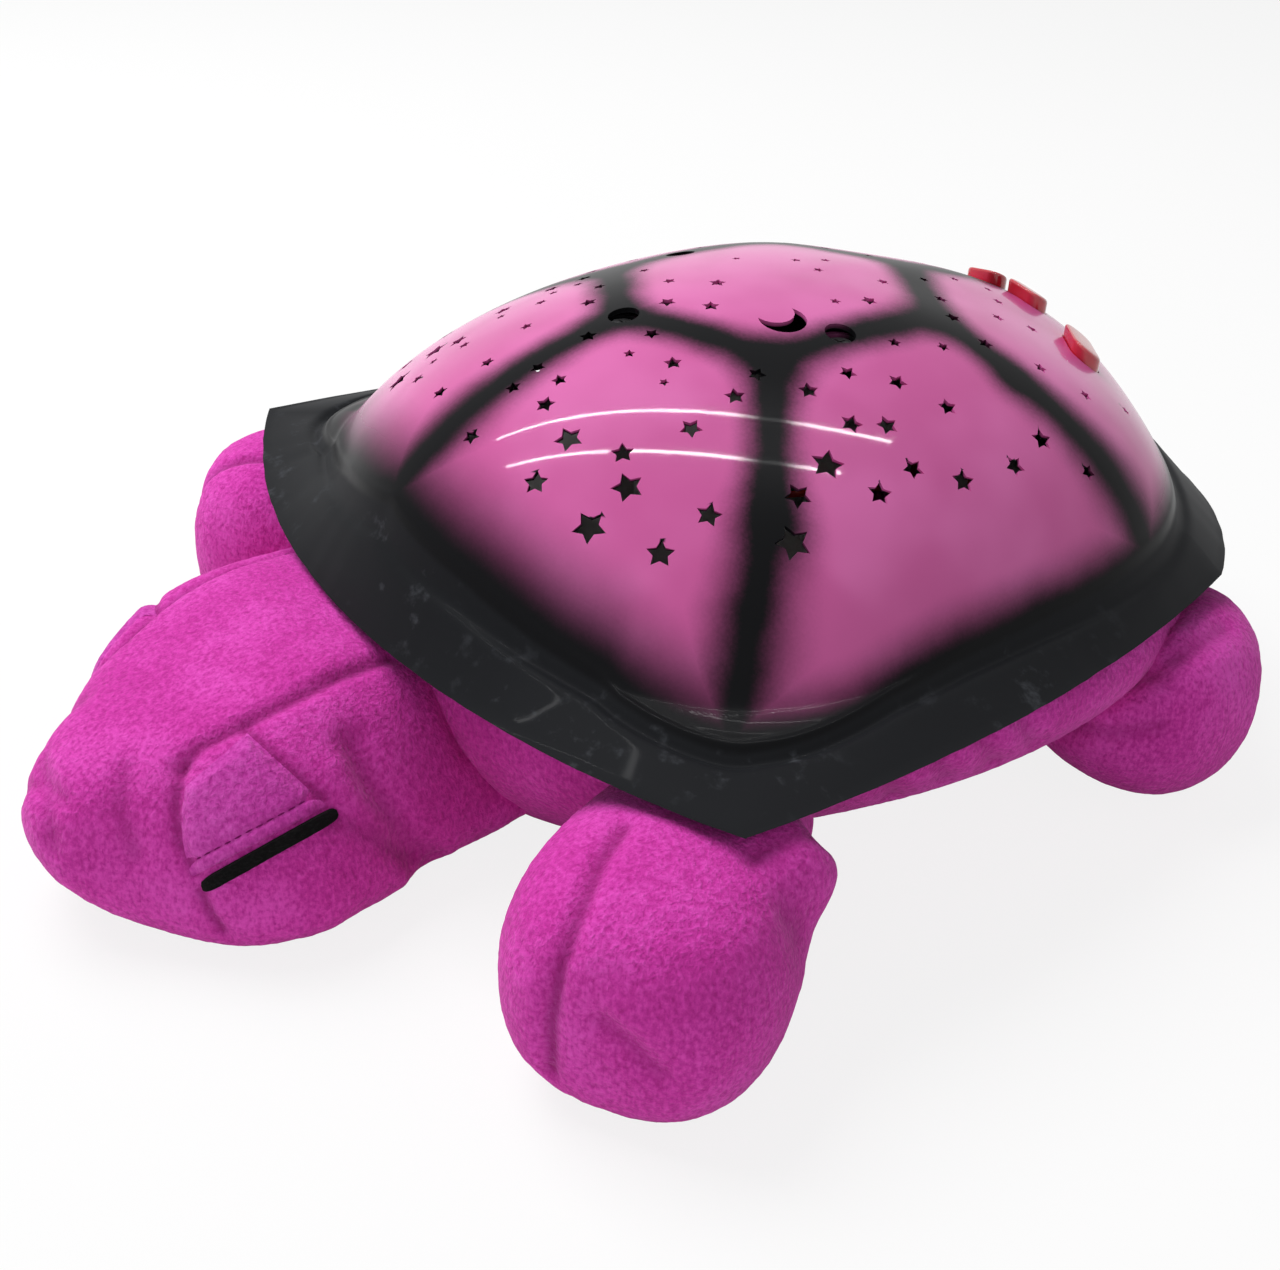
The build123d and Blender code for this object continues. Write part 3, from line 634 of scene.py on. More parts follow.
def baked(made: bpy.types.Object) -> None:
    """Turn an object's modifiers into plain mesh.

    Args:
        made: The object.
    """
    graph = bpy.context.evaluated_depsgraph_get()
    mesh = bpy.data.meshes.new_from_object(made.evaluated_get(graph))
    made.modifiers.clear()
    made.data = mesh


def smooth(mesh: bpy.types.Mesh, angle: float) -> None:
    """Shade a mesh smooth, apart from edges sharper than an angle in degrees."""
    mesh.shade_smooth()
    mesh.set_sharp_from_angle(angle=math.radians(angle))


def tree_of(mesh: bpy.types.Mesh) -> BVHTree:
    """Ray tree of a mesh."""
    return BVHTree.FromPolygons([v.co[:] for v in mesh.vertices], [p.vertices[:] for p in mesh.polygons])


@dataclass(frozen=True)
class MirrorPlane:
    """Upright plane between a piece and its twin, and how far back the twin lies."""

    offset: float = 0.0
    slope: float = 0.0
    back: float = 0.0

    def matrix(self) -> Matrix:
        """Transform from a piece to its twin, in metres."""
        across = (-1.0, 2 * self.slope, 0.0, 2 * self.offset * MM)
        return Matrix((across, (0, 1, 0, self.back * MM), (0, 0, 1, 0), (0, 0, 0, 1)))

    def reflect(self, points: np.ndarray) -> np.ndarray:
        """Places on the other side of the plane."""
        turned = np.array(self.matrix())
        return points @ turned[:3, :3].T + turned[:3, 3]

    def twin(self, name: str, mesh: bpy.types.Mesh) -> bpy.types.Mesh:
        """Copy a mesh to the other side of the plane.

        Args:
            name: The copy's name.
            mesh: The mesh to copy.

        Returns:
            The copy, with its faces pointing outwards.
        """
        other = mesh.copy()
        other.name = name
        other.transform(self.matrix())
        other.flip_normals()
        return other


HEAD_PLANE = MirrorPlane(offset=-31.73, slope=-0.2314)


def paint(made: bpy.types.Object, material: bpy.types.Material) -> None:
    """Give an object one material."""
    made.data.materials.clear()
    made.data.materials.append(material)


# Geometry node trees


class Pattern(Nodes):
    """One geometry tree that lays out copies of a small shape."""

    def __init__(self, name: str, **sizes: float) -> None:
        """Start a tree with its named sizes.

        Args:
            name: The tree's name.
            **sizes: The tree's inputs, in metres or degrees.
        """
        super().__init__(bpy.data.node_groups.new(name, "GeometryNodeTree"))
        self.sizes = sizes
        self.tree.interface.new_socket("Geometry", in_out="INPUT", socket_type="NodeSocketGeometry")
        self.tree.interface.new_socket("Geometry", in_out="OUTPUT", socket_type="NodeSocketGeometry")
        self.sockets = {
            key: self.tree.interface.new_socket(key, in_out="INPUT", socket_type="NodeSocketFloat")
            for key in sizes
        }
        self.inlet = self.tree.nodes.new("NodeGroupInput")

    def given(self, key: str) -> bpy.types.NodeSocket:
        """One of the tree's inputs."""
        return self.inlet.outputs[key]

    def node(
        self, kind: str, settings: dict, inputs: dict, output: Union[int, str] = 0
    ) -> bpy.types.NodeSocket:
        """Add a node, and take the output of a name or number."""
        return self.add(kind, settings, inputs).outputs[output]

    def noted(self, name: str, kind: str = "FLOAT") -> bpy.types.NodeSocket:
        """A value noted on the points."""
        settings = {"data_type": kind}
        return self.node("GeometryNodeInputNamedAttribute", settings, {"Name": name}, "Attribute")

    def lay(self, made: bpy.types.Object, copies: bpy.types.NodeSocket, material: bpy.types.Material) -> None:
        """Close the tree, run it on an object and keep the plain mesh.

        Args:
            made: The object whose mesh holds the points or lines.
            copies: The laid-out copies.
            material: Their finish.
        """
        real = self.node("GeometryNodeRealizeInstances", {}, {"Geometry": copies})
        dressed = self.node("GeometryNodeSetMaterial", {}, {"Geometry": real, "Material": material})
        self.add("NodeGroupOutput", {}, {"Geometry": dressed})
        modifier = made.modifiers.new(self.tree.name, "NODES")
        modifier.node_group = self.tree
        for key, value in self.sizes.items():
            modifier[self.sockets[key].identifier] = value
        baked(made)


@dataclass(frozen=True)
class Stitches:
    """A row of sewn stitches along lines on the cloth."""

    name: str
    slot: str
    body: str = ROOT_BODY
    pitch: float = 2.4
    length: float = 1.7
    thickness: float = 0.42

    def build(self, paths: Sequence[np.ndarray], material: bpy.types.Material) -> None:
        """Make the stitches.

        Args:
            paths: Places along each line, in metres.
            material: The thread's finish.
        """
        points = np.vstack(paths)
        edges = []
        start = 0
        for line in paths:
            edges += [(k, k + 1) for k in range(start, start + len(line) - 1)]
            start += len(line)
        mesh = bpy.data.meshes.new(self.name)
        mesh.from_pydata(points.tolist(), edges, [])
        made = new_object(self.name, mesh)
        sizes = {"Pitch": self.pitch * MM, "Length": self.length * MM, "Thickness": self.thickness * MM}
        rows = Pattern(f"{self.name}_rows", **sizes)
        line = rows.node("GeometryNodeMeshToCurve", {}, {"Mesh": rows.given("Geometry")})
        spacing = {"Curve": line, "Length": rows.given("Pitch")}
        even = rows.node("GeometryNodeResampleCurve", {"mode": "LENGTH"}, spacing)
        along = rows.node("GeometryNodeInputTangent", {}, {})
        turn = rows.node("FunctionNodeAlignRotationToVector", {"axis": "X"}, {"Vector": along})
        thick = rows.given("Thickness")
        sides = {"X": rows.given("Length"), "Y": thick, "Z": thick}
        size = rows.node("ShaderNodeCombineXYZ", {}, sides)
        bead = rows.node("GeometryNodeMeshUVSphere", {}, {"Segments": 8, "Rings": 6, "Radius": 0.5})
        round_bead = rows.node("GeometryNodeSetShadeSmooth", {}, {"Geometry": bead})
        laid = {"Points": even, "Instance": round_bead, "Rotation": turn, "Scale": size}
        copies = rows.node("GeometryNodeInstanceOnPoints", {}, laid)
        rows.lay(made, copies, material)
        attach(made, self.body)
        LOG.info("stitches: %s, %d faces", self.name, len(made.data.polygons))


# Camera, light and floor


@dataclass(frozen=True)
class PhotoCamera:
    """The photograph's viewpoint."""

    azimuth: float = 55.06
    elevation: float = 30.62
    roll: float = 3.2
    distance: float = 445.0
    target: tuple[float, float, float] = (-10.5, 2.2, 16.0)
    lens: float = 45.13
    sensor: float = 36.0
    image: tuple[int, int] = (1280, 1270)

    def axes(self) -> tuple[np.ndarray, np.ndarray, np.ndarray, np.ndarray]:
        """Place and directions of the camera.

        Returns:
            Its place in millimetres, and the directions to its right, up and back.
        """
        az, el, roll = (math.radians(a) for a in (self.azimuth, self.elevation, self.roll))
        back = np.array([math.sin(az) * math.cos(el), -math.cos(az) * math.cos(el), math.sin(el)])
        right = np.array([math.cos(az), math.sin(az), 0.0])
        up = np.cross(back, right)
        turned_right = math.cos(roll) * right + math.sin(roll) * up
        turned_up = math.cos(roll) * up - math.sin(roll) * right
        return np.array(self.target) + back * self.distance, turned_right, turned_up, back

    def ray(self, pixel: Pixel) -> tuple[Vector, Vector]:
        """Line of sight through a pixel of the photograph.

        Args:
            pixel: The pixel.

        Returns:
            The camera's place in metres, and the line's direction.
        """
        place, right, up, back = self.axes()
        focal = self.lens / self.sensor * self.image[0]
        across = (pixel[0] - self.image[0] / 2) / focal
        down = (pixel[1] - self.image[1] / 2) / focal
        return Vector(place * MM), Vector(across * right - down * up - back).normalized()

    def trace(self, tree: BVHTree, path: Sequence[Pixel], steps: int = 8) -> np.ndarray:
        """Lay a line drawn on the photograph onto a piece.

        Args:
            tree: The piece's ray tree.
            path: Corners of the line, in pixels.
            steps: Points on each run of the line.

        Returns:
            Places on the piece, in metres.
        """
        places = []
        for start, end in zip(path, path[1:]):
            for step in range(steps):
                share = step / (steps - 1)
                pixel = (start[0] + (end[0] - start[0]) * share, start[1] + (end[1] - start[1]) * share)
                hit, _, _, _ = tree.ray_cast(*self.ray(pixel))
                if hit is not None:
                    places.append(hit[:])
        return np.array(places).reshape(-1, 3)

    def build(self) -> None:
        """Make the scene's camera."""
        place, right, up, back = self.axes()
        camera = bpy.data.cameras.new("photo_camera")
        camera.lens = self.lens
        camera.sensor_width = self.sensor
        camera.clip_start = 0.01
        made = bpy.data.objects.new("photo_camera", camera)
        turns = np.array([right, up, back]).T.tolist()
        rows = [[*row, p * MM] for row, p in zip(turns, place)]
        made.matrix_world = Matrix(rows + [[0, 0, 0, 1]])
        bpy.context.scene.collection.objects.link(made)
        bpy.context.scene.camera = made


@dataclass(frozen=True)
class Softbox:
    """One studio lamp that faces the object."""

    name: str
    place: tuple[float, float, float]
    size: tuple[float, float]
    power: float
    heading: Optional[float] = None
    aim: tuple[float, float, float] = (0.0, 0.0, 0.06)

    def build(self) -> None:
        """Make the lamp. A tube with a heading shows only as a reflection, and the others only as light."""
        lamp = bpy.data.lights.new(self.name, "AREA")
        lamp.shape = "RECTANGLE"
        lamp.size, lamp.size_y = self.size
        lamp.energy = self.power
        made = bpy.data.objects.new(self.name, lamp)
        made.location = self.place
        facing = Vector(self.aim) - Vector(self.place)
        made.rotation_euler = facing.to_track_quat("-Z", "Y").to_euler()
        tube = self.heading is not None
        if tube:
            made.rotation_euler = (0.0, 0.0, math.radians(self.heading))
        made.visible_glossy = tube
        made.visible_diffuse = not tube
        bpy.context.scene.collection.objects.link(made)


@dataclass
class Studio:
    """Pale floor, even world and soft lamps."""

    world: float = 0.27
    floor: Colour = (0.90, 0.90, 0.90)
    floor_size: float = 12.0
    floor_glow: float = 0.84
    lamps: tuple[Softbox, ...] = (
        Softbox("top_softbox", (-0.62, -0.30, 1.15), (0.9, 0.9), 18.0),
        Softbox("front_softbox", (1.0, -0.75, 0.55), (0.7, 0.7), 1.7),
        Softbox("tube_lamp_far", (-0.27, 0.08, 1.10), (1.45, 0.011), 3.4, 50.0),
        Softbox("tube_lamp_near", (-0.12, -0.09, 1.10), (1.30, 0.011), 3.4, 53.0),
    )

    def build(self) -> None:
        """Make the floor, the world and the lamps."""
        bpy.context.scene.view_settings.view_transform = "Standard"
        half = self.floor_size / 2 / MM
        corners = np.array([(-half, -half, 0), (half, -half, 0), (half, half, 0), (-half, half, 0)])
        floor = new_object("floor", mesh_from("floor", corners, [(0, 1, 2, 3)]))
        paint(floor, self.floor_finish())
        self.light_world()
        for lamp in self.lamps:
            lamp.build()

    def floor_finish(self) -> bpy.types.Material:
        """Pale floor that shows near white to the eye and keeps the object's shadow.

        Returns:
            The material.
        """
        f = Finisher(bpy.data.materials.new("floor_paper"))
        paper = f.node("ShaderNodeBsdfDiffuse", {}, {"Color": self.floor})
        glow = f.node("ShaderNodeEmission", {}, {"Color": WHITE, "Strength": 1.0})
        share = f.seen() * self.floor_glow
        return f.close(f.node("ShaderNodeMixShader", {}, {0: share, 1: paper, 2: glow}))

    def light_world(self) -> None:
        """Even white light from all round, white where the eye sees it."""
        world = bpy.data.worlds.new("studio")
        bpy.context.scene.world = world
        f = Finisher(world)
        soft = f.node("ShaderNodeBackground", {}, {"Color": WHITE, "Strength": self.world})
        white = f.node("ShaderNodeBackground", {}, {"Color": WHITE, "Strength": 1.0})
        mix = f.node("ShaderNodeMixShader", {}, {0: f.seen(), 1: soft, 2: white})
        f.close(mix, "ShaderNodeOutputWorld")


# Shell


@dataclass
class Shell:
    """Hard dome with a flared rim, pierced by stars, with the cups for its screws and button slots."""

    HEIGHT_NAME: ClassVar[str] = "above_crease"
    # Height noted on inside faces, which paints the inside dark: painted shade seen through the star holes.
    shaded_inside_height: float = -10.0
    middle_y: float = 27.0
    front: float = 111.0
    rear: float = 124.0
    side: float = 99.5
    shoulder: Plan = (51.5, -101.0)
    front_corner: Plan = (96.8, -74.8)
    rear_corner: Plan = (84.0, 76.0)
    haunch: Plan = (48.0, 110.0)
    shoulder_pull: float = 0.10
    front_pull: float = 0.256
    side_pull: float = 0.10
    rear_pull: float = 0.07
    haunch_pull: float = 0.08
    base_z: float = 58.0
    rise: float = 61.0
    rim_z: float = 55.0
    rim_front: float = 117.5
    rim_rear: float = 134.0
    rim_side: float = 111.5
    rim_front_tip: Plan = (117.0, -87.0)
    rim_rear_tip: Plan = (90.0, 84.0)
    crease_heights: tuple[Span, ...] = (
        (-90.0, 79.5), (-74.0, 73.5), (-62.0, 67.0), (-50.0, 62.2), (-38.0, 58.6),
        (-20.0, 62.4), (0.0, 64.0), (20.0, 66.0), (43.0, 69.5), (90.0, 74.0),
    )
    wall: float = 1.2
    rim_land: float = 2.2
    crease_blur: int = 17
    bead_rise: float = 0.45
    bead_width: float = 0.8
    groove_depth: float = 1.5
    groove_place: float = 2.6
    groove_width: float = 1.7
    trim_wave: float = 0.35
    wave_count: float = 14.0
    wave_seed: float = 3.0
    edge_lift: float = 0.3
    columns: int = 280
    rows: int = 130
    reach_steps: int = 160
    reach_bias: float = 0.6
    profile_steps: int = 1400
    crease_focus: float = 6.0
    crease_span: float = 5.0
    sharp_angle: float = 34.0
    star_waist: float = 0.52
    star_turn: float = 0.7
    cut_depth: float = 6.0
    moon_place: Plan = (23.0, -12.5)
    moon_radius: float = 5.8
    moon_bite: float = 5.0
    moon_shift: float = 3.6
    moon_steps: int = 32
    bite_steps: int = 20
    cup_places: tuple[Plan, ...] = ((0.0, -42.0), (33.0, -3.0), (-33.0, -3.0))
    cup_radius: float = 3.75
    cup_floor_z: float = 110.5
    boss_radius: float = 5.2
    boss_z: float = 102.0
    boss_sink: float = 1.6
    cup_over: float = 4.0
    screw_hole: float = 1.6
    hole_under: float = 2.0
    hole_over: float = 0.5
    hole_sides: int = 16
    slot_clearance: float = 0.35
    slot_reach: float = 12.0
    front_stars: tuple[tuple[float, float, float], ...] = (
        (15, -50, 3), (12, -42, 4), (24, -44, 4.5), (28, -49, 2.5), (11, -66, 4), (15, -72, 5),
        (27, -73, 7), (30, -83, 6), (8, -87, 4.5), (2, -53, 4.5), (3, -67, 4), (4, -74, 4),
        (-12, -72, 4), (-18, -58, 3.5), (-15, -83, 4.5), (-33, -80, 4), (-31, -68, 3.5), (-36, -74, 3),
        (-36, -55, 3), (-30, -47, 3.5), (-34, -41, 3), (-32, -35, 3), (-14, -43, 4.5), (-22, -35, 3.5),
    )
    top_stars: tuple[tuple[float, float, float], ...] = (
        (-9, -23, 3.5), (0, -15, 4.5), (2, -31, 4.5), (10, -24, 4.5), (-23, -21, 3), (-6, 14, 3),
        (3, 14, 3), (-14, 1, 2.5), (-4, 22, 3), (13, 27, 3.5), (21, 5, 3), (23, 14, 4.5),
    )
    side_stars: tuple[tuple[float, float, float], ...] = (
        (38, -66, 5.5), (42, -51, 5.5), (40, -38, 5), (37, -30, 4.5), (45, -69, 7.5), (60, -58, 6),
        (46, -79, 8), (60, -70, 6.5), (44, 20, 3.5), (40, 8, 3.5), (45, -10, 4.5), (46, -22, 5),
        (51, 0, 5), (60, 8, 5), (57, -18, 5.5), (60, -10, 5.5), (63, -29, 8), (66, -39, 6.5),
        (72, -21, 6), (70, -10, 5.5), (75, 1, 6), (75, 17, 5.5), (71, 29, 6), (78, 39, 4.5),
        (73, -45, 8.5),
    )
    rear_stars: tuple[tuple[float, float, float], ...] = (
        (23, 38, 4), (11, 43, 3), (8, 57, 3), (11, 67, 3), (19, 63, 3.5), (30, 52, 4),
        (33, 33, 4.5), (44, 34, 4.5), (32, 63, 4), (52, 46, 4), (59, 56, 4), (57, 75, 3.5),
    )
    tree: Optional[BVHTree] = field(default=None, repr=False)
    places: Optional[np.ndarray] = field(default=None, repr=False)
    above: Optional[np.ndarray] = field(default=None, repr=False)

    def ring(self, reach: float) -> np.ndarray:
        """Plan points of the dome all the way round, at one share of its reach.

        Args:
            reach: The share, 0 at the top and 1 at the base.

        Returns:
            Twelve points about the shell's middle.
        """
        half = []
        for (x, y), pull in (
            ((0.0, -self.front), 0.0),
            (self.shoulder, self.shoulder_pull),
            (self.front_corner, self.front_pull),
            ((self.side, 0.0), self.side_pull),
            (self.rear_corner, self.rear_pull),
            (self.haunch, self.haunch_pull),
            ((0.0, self.rear), 0.0),
        ):
            scale = reach * (1 - pull * (1 - reach**2) ** 0.25)
            half.append((x * scale, y * scale))
        return np.array(half + [(-x, y) for x, y in half[-2:0:-1]])

    @staticmethod
    def closed_spline(points: np.ndarray, samples: int = 30) -> np.ndarray:
        """Smooth closed curve through points.

        Args:
            points: The points.
            samples: Points of the curve on each run.

        Returns:
            Points of the curve.
        """
        following = np.roll(points, -1, axis=0)
        run = np.linalg.norm(following - points, axis=1)
        before = np.roll(run, 1)
        count = len(points)
        matrix = np.diag(2 * (run + before))
        for k in range(count):
            matrix[k, (k + 1) % count] += run[k]
            matrix[k, k - 1] += before[k]
        slope = (following - points) / run[:, None]
        bend = np.linalg.solve(matrix, 6 * (slope - np.roll(slope, 1, axis=0)))
        after = np.roll(bend, -1, axis=0)
        share = np.linspace(0, 1, samples, endpoint=False)[None, :, None]
        start, end = points[:, None, :], following[:, None, :]
        square = (run**2)[:, None, None] / 6
        curve = start * (1 - share) + end * share
        curve += square * ((1 - share) ** 3 - (1 - share)) * bend[:, None, :]
        curve += square * (share**3 - share) * after[:, None, :]
        return curve.reshape(-1, 2)

    @staticmethod
    def radius_at(curve: np.ndarray, angles: np.ndarray) -> np.ndarray:
        """Distance of a closed curve from the middle, in given directions.

        Args:
            curve: Points of the curve.
            angles: The directions, in radians.

        Returns:
            The distances.
        """
        turn = np.arctan2(curve[:, 1], curve[:, 0])
        order = np.argsort(turn)
        return np.interp(angles, turn[order], np.hypot(*curve.T)[order], period=2 * math.pi)

    @staticmethod
    def arc(start: Plan, middle: Plan, end: Plan, samples: int = 60) -> np.ndarray:
        """Points of the arc through three points.

        Args:
            start: The first point.
            middle: A point on the way.
            end: The last point.
            samples: How many points to give.

        Returns:
            The points.
        """
        a, b, c = (complex(*p) for p in (start, middle, end))
        w = (c - a) / (b - a)
        centre = a + (b - a) * (w - abs(w) ** 2) / (2j * w.imag)
        first, mid, last = (np.angle(p - centre) for p in (a, b, c))
        sweep = (last - first) % (2 * math.pi)
        if (mid - first) % (2 * math.pi) > sweep:
            sweep -= 2 * math.pi
        turned = centre + (a - centre) * np.exp(1j * np.linspace(0, sweep, samples, endpoint=False))
        return np.column_stack([turned.real, turned.imag])

    def rim_curve(self) -> np.ndarray:
        """The rim's edge: four arcs from tip to tip.

        Returns:
            Points of the closed curve.
        """
        (fx, fy), (rx, ry) = self.rim_front_tip, self.rim_rear_tip
        runs = (
            ((-fx, fy), (0, -self.rim_front), (fx, fy)),
            ((fx, fy), (self.rim_side, 0), (rx, ry)),
            ((rx, ry), (0, self.rim_rear), (-rx, ry)),
            ((-rx, ry), (-self.rim_side, 0), (-fx, fy)),
        )
        return np.vstack([self.arc(*run) for run in runs])

    def skin(self) -> tuple[np.ndarray, np.ndarray]:
        """Outside of the shell as columns of points from the top to the rim's edge.

        Returns:
            Places by row and column about the shell's middle, and how far along the skin each lies
            above the crease, in millimetres.
        """
        corners = (self.rim_front_tip, self.rim_rear_tip)
        tips = [math.atan2(y, side * x) for x, y in corners for side in (1, -1)]
        even = np.linspace(-math.pi, math.pi, self.columns, endpoint=False)
        apart = np.min(np.abs(even[:, None] - np.array(tips)[None, :]), axis=1)
        angles = np.sort(np.concatenate([even[apart > math.pi / self.columns], tips]))
        reaches = np.linspace(0, 1, self.reach_steps) ** self.reach_bias
        table = [self.radius_at(self.closed_spline(self.ring(r)), angles) for r in reaches[1:]]
        table = np.vstack([np.zeros(len(angles)), table])
        spots = self.wave_count * np.column_stack([np.cos(angles), np.sin(angles)])
        wave = [noise.noise(Vector((x, y, self.wave_seed))) for x, y in spots]
        edge = self.radius_at(self.rim_curve(), angles) - self.trim_wave * np.abs(wave)
        turns, heights = np.array(self.crease_heights).T
        crease_z = np.interp(np.degrees(np.arcsin(np.sin(angles))), turns, heights)
        crease_reach = np.sqrt(1 - ((crease_z - self.base_z) / self.rise) ** 2)
        blur = np.ones(self.crease_blur) / self.crease_blur
        margin = self.crease_blur // 2
        columns, above = [], []
        for k in range(len(angles)):
            radius = np.linspace(0, edge[k], self.profile_steps)
            reach = np.interp(radius, table[:, k], reaches, right=1.0)
            dome = self.base_z + self.rise * np.sqrt(np.clip(1 - reach**2, 0, 1))
            crease_radius = np.interp(crease_reach[k], reaches, table[:, k])
            crease = int(np.searchsorted(radius, crease_radius))
            fall = (edge[k] - radius) / (edge[k] - crease_radius)
            flare = self.rim_z + (crease_z[k] - self.rim_z) * fall
            height = np.where(radius < crease_radius, dome, flare)
            height[margin:-margin] = np.convolve(height, blur, mode="valid")
            out = radius - radius[crease]
            height += self.bead_rise * np.exp(-(((out + self.bead_width) / self.bead_width) ** 2))
            height -= self.groove_depth * np.exp(-(((out - self.groove_place) / self.groove_width) ** 2))
            height[-1] = self.rim_z + self.edge_lift
            steps = np.hypot(np.diff(radius), np.diff(height))
            weight = 1 + self.crease_focus * np.exp(-((out[1:] / self.crease_span) ** 2))
            length = np.concatenate([[0], np.cumsum(steps * weight)])
            even_length = np.linspace(0, length[-1], self.rows)
            r = np.interp(even_length, length, radius)
            z = np.interp(even_length, length, height)
            columns.append(np.column_stack([r * math.cos(angles[k]), r * math.sin(angles[k]), z]))
            run = np.concatenate([[0], np.cumsum(steps)])
            above.append(run[crease] - np.interp(even_length, length, run))
        return np.array(columns).transpose(1, 0, 2), np.array(above).T

    def body_mesh(self) -> bpy.types.Mesh:
        """Closed wall of the shell, before it is pierced.

        Returns:
            The mesh.
        """
        skin, self.above = self.skin()
        skin[..., 1] += self.middle_y
        self.places = skin
        rows, columns, _ = skin.shape
        across = np.roll(skin, -1, axis=1) - np.roll(skin, 1, axis=1)
        down = np.gradient(skin, axis=0)
        normal = np.cross(down, across)
        normal /= np.linalg.norm(normal, axis=2, keepdims=True) + 1e-9
        normal *= np.sign(normal[..., 2:3] + 1e-9)
        inner = skin - normal * self.wall
        flat = skin[-1, :, :2] - np.array([0, self.middle_y])
        inward = flat / np.linalg.norm(flat, axis=1, keepdims=True)
        inner[-1, :, :2] = skin[-1, :, :2] - inward * self.rim_land
        inner[-1, :, 2] = self.rim_z
        inner[-2, :, 2] = np.maximum(inner[-2, :, 2], self.rim_z + 0.1)
        top = skin[0, 0]
        tops = [top, top - (0, 0, self.wall)]
        points = np.vstack([tops, skin[1:].reshape(-1, 3), inner[1:].reshape(-1, 3)])
        outer_start = 2
        inner_start = 2 + (rows - 1) * columns
        faces = []
        for k in range(columns):
            n = (k + 1) % columns
            faces.append((0, outer_start + k, outer_start + n))
            faces.append((1, inner_start + n, inner_start + k))
            for row in range(rows - 2):
                a, b = outer_start + row * columns, outer_start + (row + 1) * columns
                faces.append((a + k, b + k, b + n, a + n))
                a, b = inner_start + row * columns, inner_start + (row + 1) * columns
                faces.append((a + n, b + n, b + k, a + k))
            a, b = outer_start + (rows - 2) * columns, inner_start + (rows - 2) * columns
            faces.append((a + k, b + k, b + n, a + n))
        return mesh_from("shell_wall", points, faces)

    def lie(self, x: float, y: float) -> tuple[Vector, Vector]:
        """Place on the shell and its normal over a plan place.

        Args:
            x: Distance from the middle plane, in millimetres.
            y: Distance behind the shell's middle, in millimetres.

        Returns:
            The place in millimetres, and the normal.
        """
        start = Vector((x * MM, (y + self.middle_y) * MM, 1.0))
        hit, normal, _, _ = self.tree.ray_cast(start, Vector((0, 0, -1)))
        return hit / MM, normal

    def prism(self, outline: Sequence[Plan], base: Vector, up: Vector, low: float, high: float) -> tuple:
        """Straight prism on an outline.

        Args:
            outline: Points of the outline, in the prism's own plane.
            base: The plane's middle.
            up: The plane's normal.
            low: Start of the prism along the normal.
            high: Its end.

        Returns:
            Its points and faces.
        """
        right = Vector((1, 0, 0)) - up * up.x
        right.normalize()
        ahead = up.cross(right)
        count = len(outline)
        points = [base + right * x + ahead * y + up * end for end in (low, high) for x, y in outline]
        faces = [tuple(range(count - 1, -1, -1)), tuple(range(count, 2 * count))]
        faces += [(k, (k + 1) % count, count + (k + 1) % count, count + k) for k in range(count)]
        return [p[:] for p in points], faces

    def star_cutters(self, material: bpy.types.Material) -> bpy.types.Object:
        """Prisms that pierce the stars.

        Args:
            material: The shell's finish, which the pierced edges take.

        Returns:
            The cutters, as one object.
        """
        stars = self.front_stars + self.top_stars + self.side_stars + self.rear_stars
        stars += tuple((-x, y, width) for x, y, width in self.side_stars + self.rear_stars)
        lies = [self.lie(x, y) for x, y, _ in stars]
        mesh = mesh_from("star_cutters", np.array([place[:] for place, _ in lies]), [])
        notes = {
            "width": ("FLOAT", "value", [width * MM for _, _, width in stars]),
            "turn": ("FLOAT", "value", [number * self.star_turn for number in range(len(stars))]),
            "facing": ("FLOAT_VECTOR", "vector", np.array([normal[:] for _, normal in lies]).ravel()),
        }
        for name, (kind, key, values) in notes.items():
            mesh.attributes.new(name, kind, "POINT").data.foreach_set(key, values)
        cutters = new_object("star_cutters", mesh)
        stamp = Pattern("star_stamp", Waist=self.star_waist, Depth=self.cut_depth * MM)
        times = {"operation": "MULTIPLY"}
        arms = {"Points": 5, "Inner Radius": stamp.given("Waist"), "Outer Radius": 1.0}
        outline = stamp.node("GeometryNodeCurveStar", {}, arms)
        sheet = stamp.node("GeometryNodeFillCurve", {"mode": "NGONS"}, {"Curve": outline})
        deep = stamp.node("ShaderNodeMath", times, {0: stamp.given("Depth"), 1: 2.0})
        pulled = {"Mesh": sheet, "Offset Scale": deep}
        sides = stamp.node("GeometryNodeExtrudeMesh", {"mode": "FACES"}, pulled)
        floor = stamp.node("GeometryNodeFlipFaces", {}, {"Mesh": sheet})
        both = stamp.node("GeometryNodeJoinGeometry", {}, {"Geometry": [sides, floor]})
        closed = stamp.node("GeometryNodeMergeByDistance", {}, {"Geometry": both, "Distance": 1e-6})
        half = stamp.node("ShaderNodeMath", times, {0: stamp.given("Depth"), 1: -1.0})
        drop = stamp.node("ShaderNodeCombineXYZ", {}, {"Z": half})
        prism = stamp.node("GeometryNodeTransform", {}, {"Geometry": closed, "Translation": drop})
        outward = {"Vector": stamp.noted("facing", "FLOAT_VECTOR")}
        facing = stamp.node("FunctionNodeAlignRotationToVector", {"axis": "Z"}, outward)
        own_turn = {"Axis": (0, 0, 1), "Angle": stamp.noted("turn")}
        spin = stamp.node("FunctionNodeAxisAngleToRotation", {}, own_turn)
        both_turns = {"Rotation": facing, "Rotate By": spin}
        turned = stamp.node("FunctionNodeRotateRotation", {"rotation_space": "LOCAL"}, both_turns)
        radius = stamp.node("ShaderNodeMath", times, {0: stamp.noted("width"), 1: 0.5})
        size = stamp.node("ShaderNodeCombineXYZ", {}, {"X": radius, "Y": radius, "Z": 1.0})
        spots = stamp.node("GeometryNodeMeshToPoints", {}, {"Mesh": stamp.given("Geometry")})
        laid = {"Points": spots, "Instance": prism, "Rotation": turned, "Scale": size}
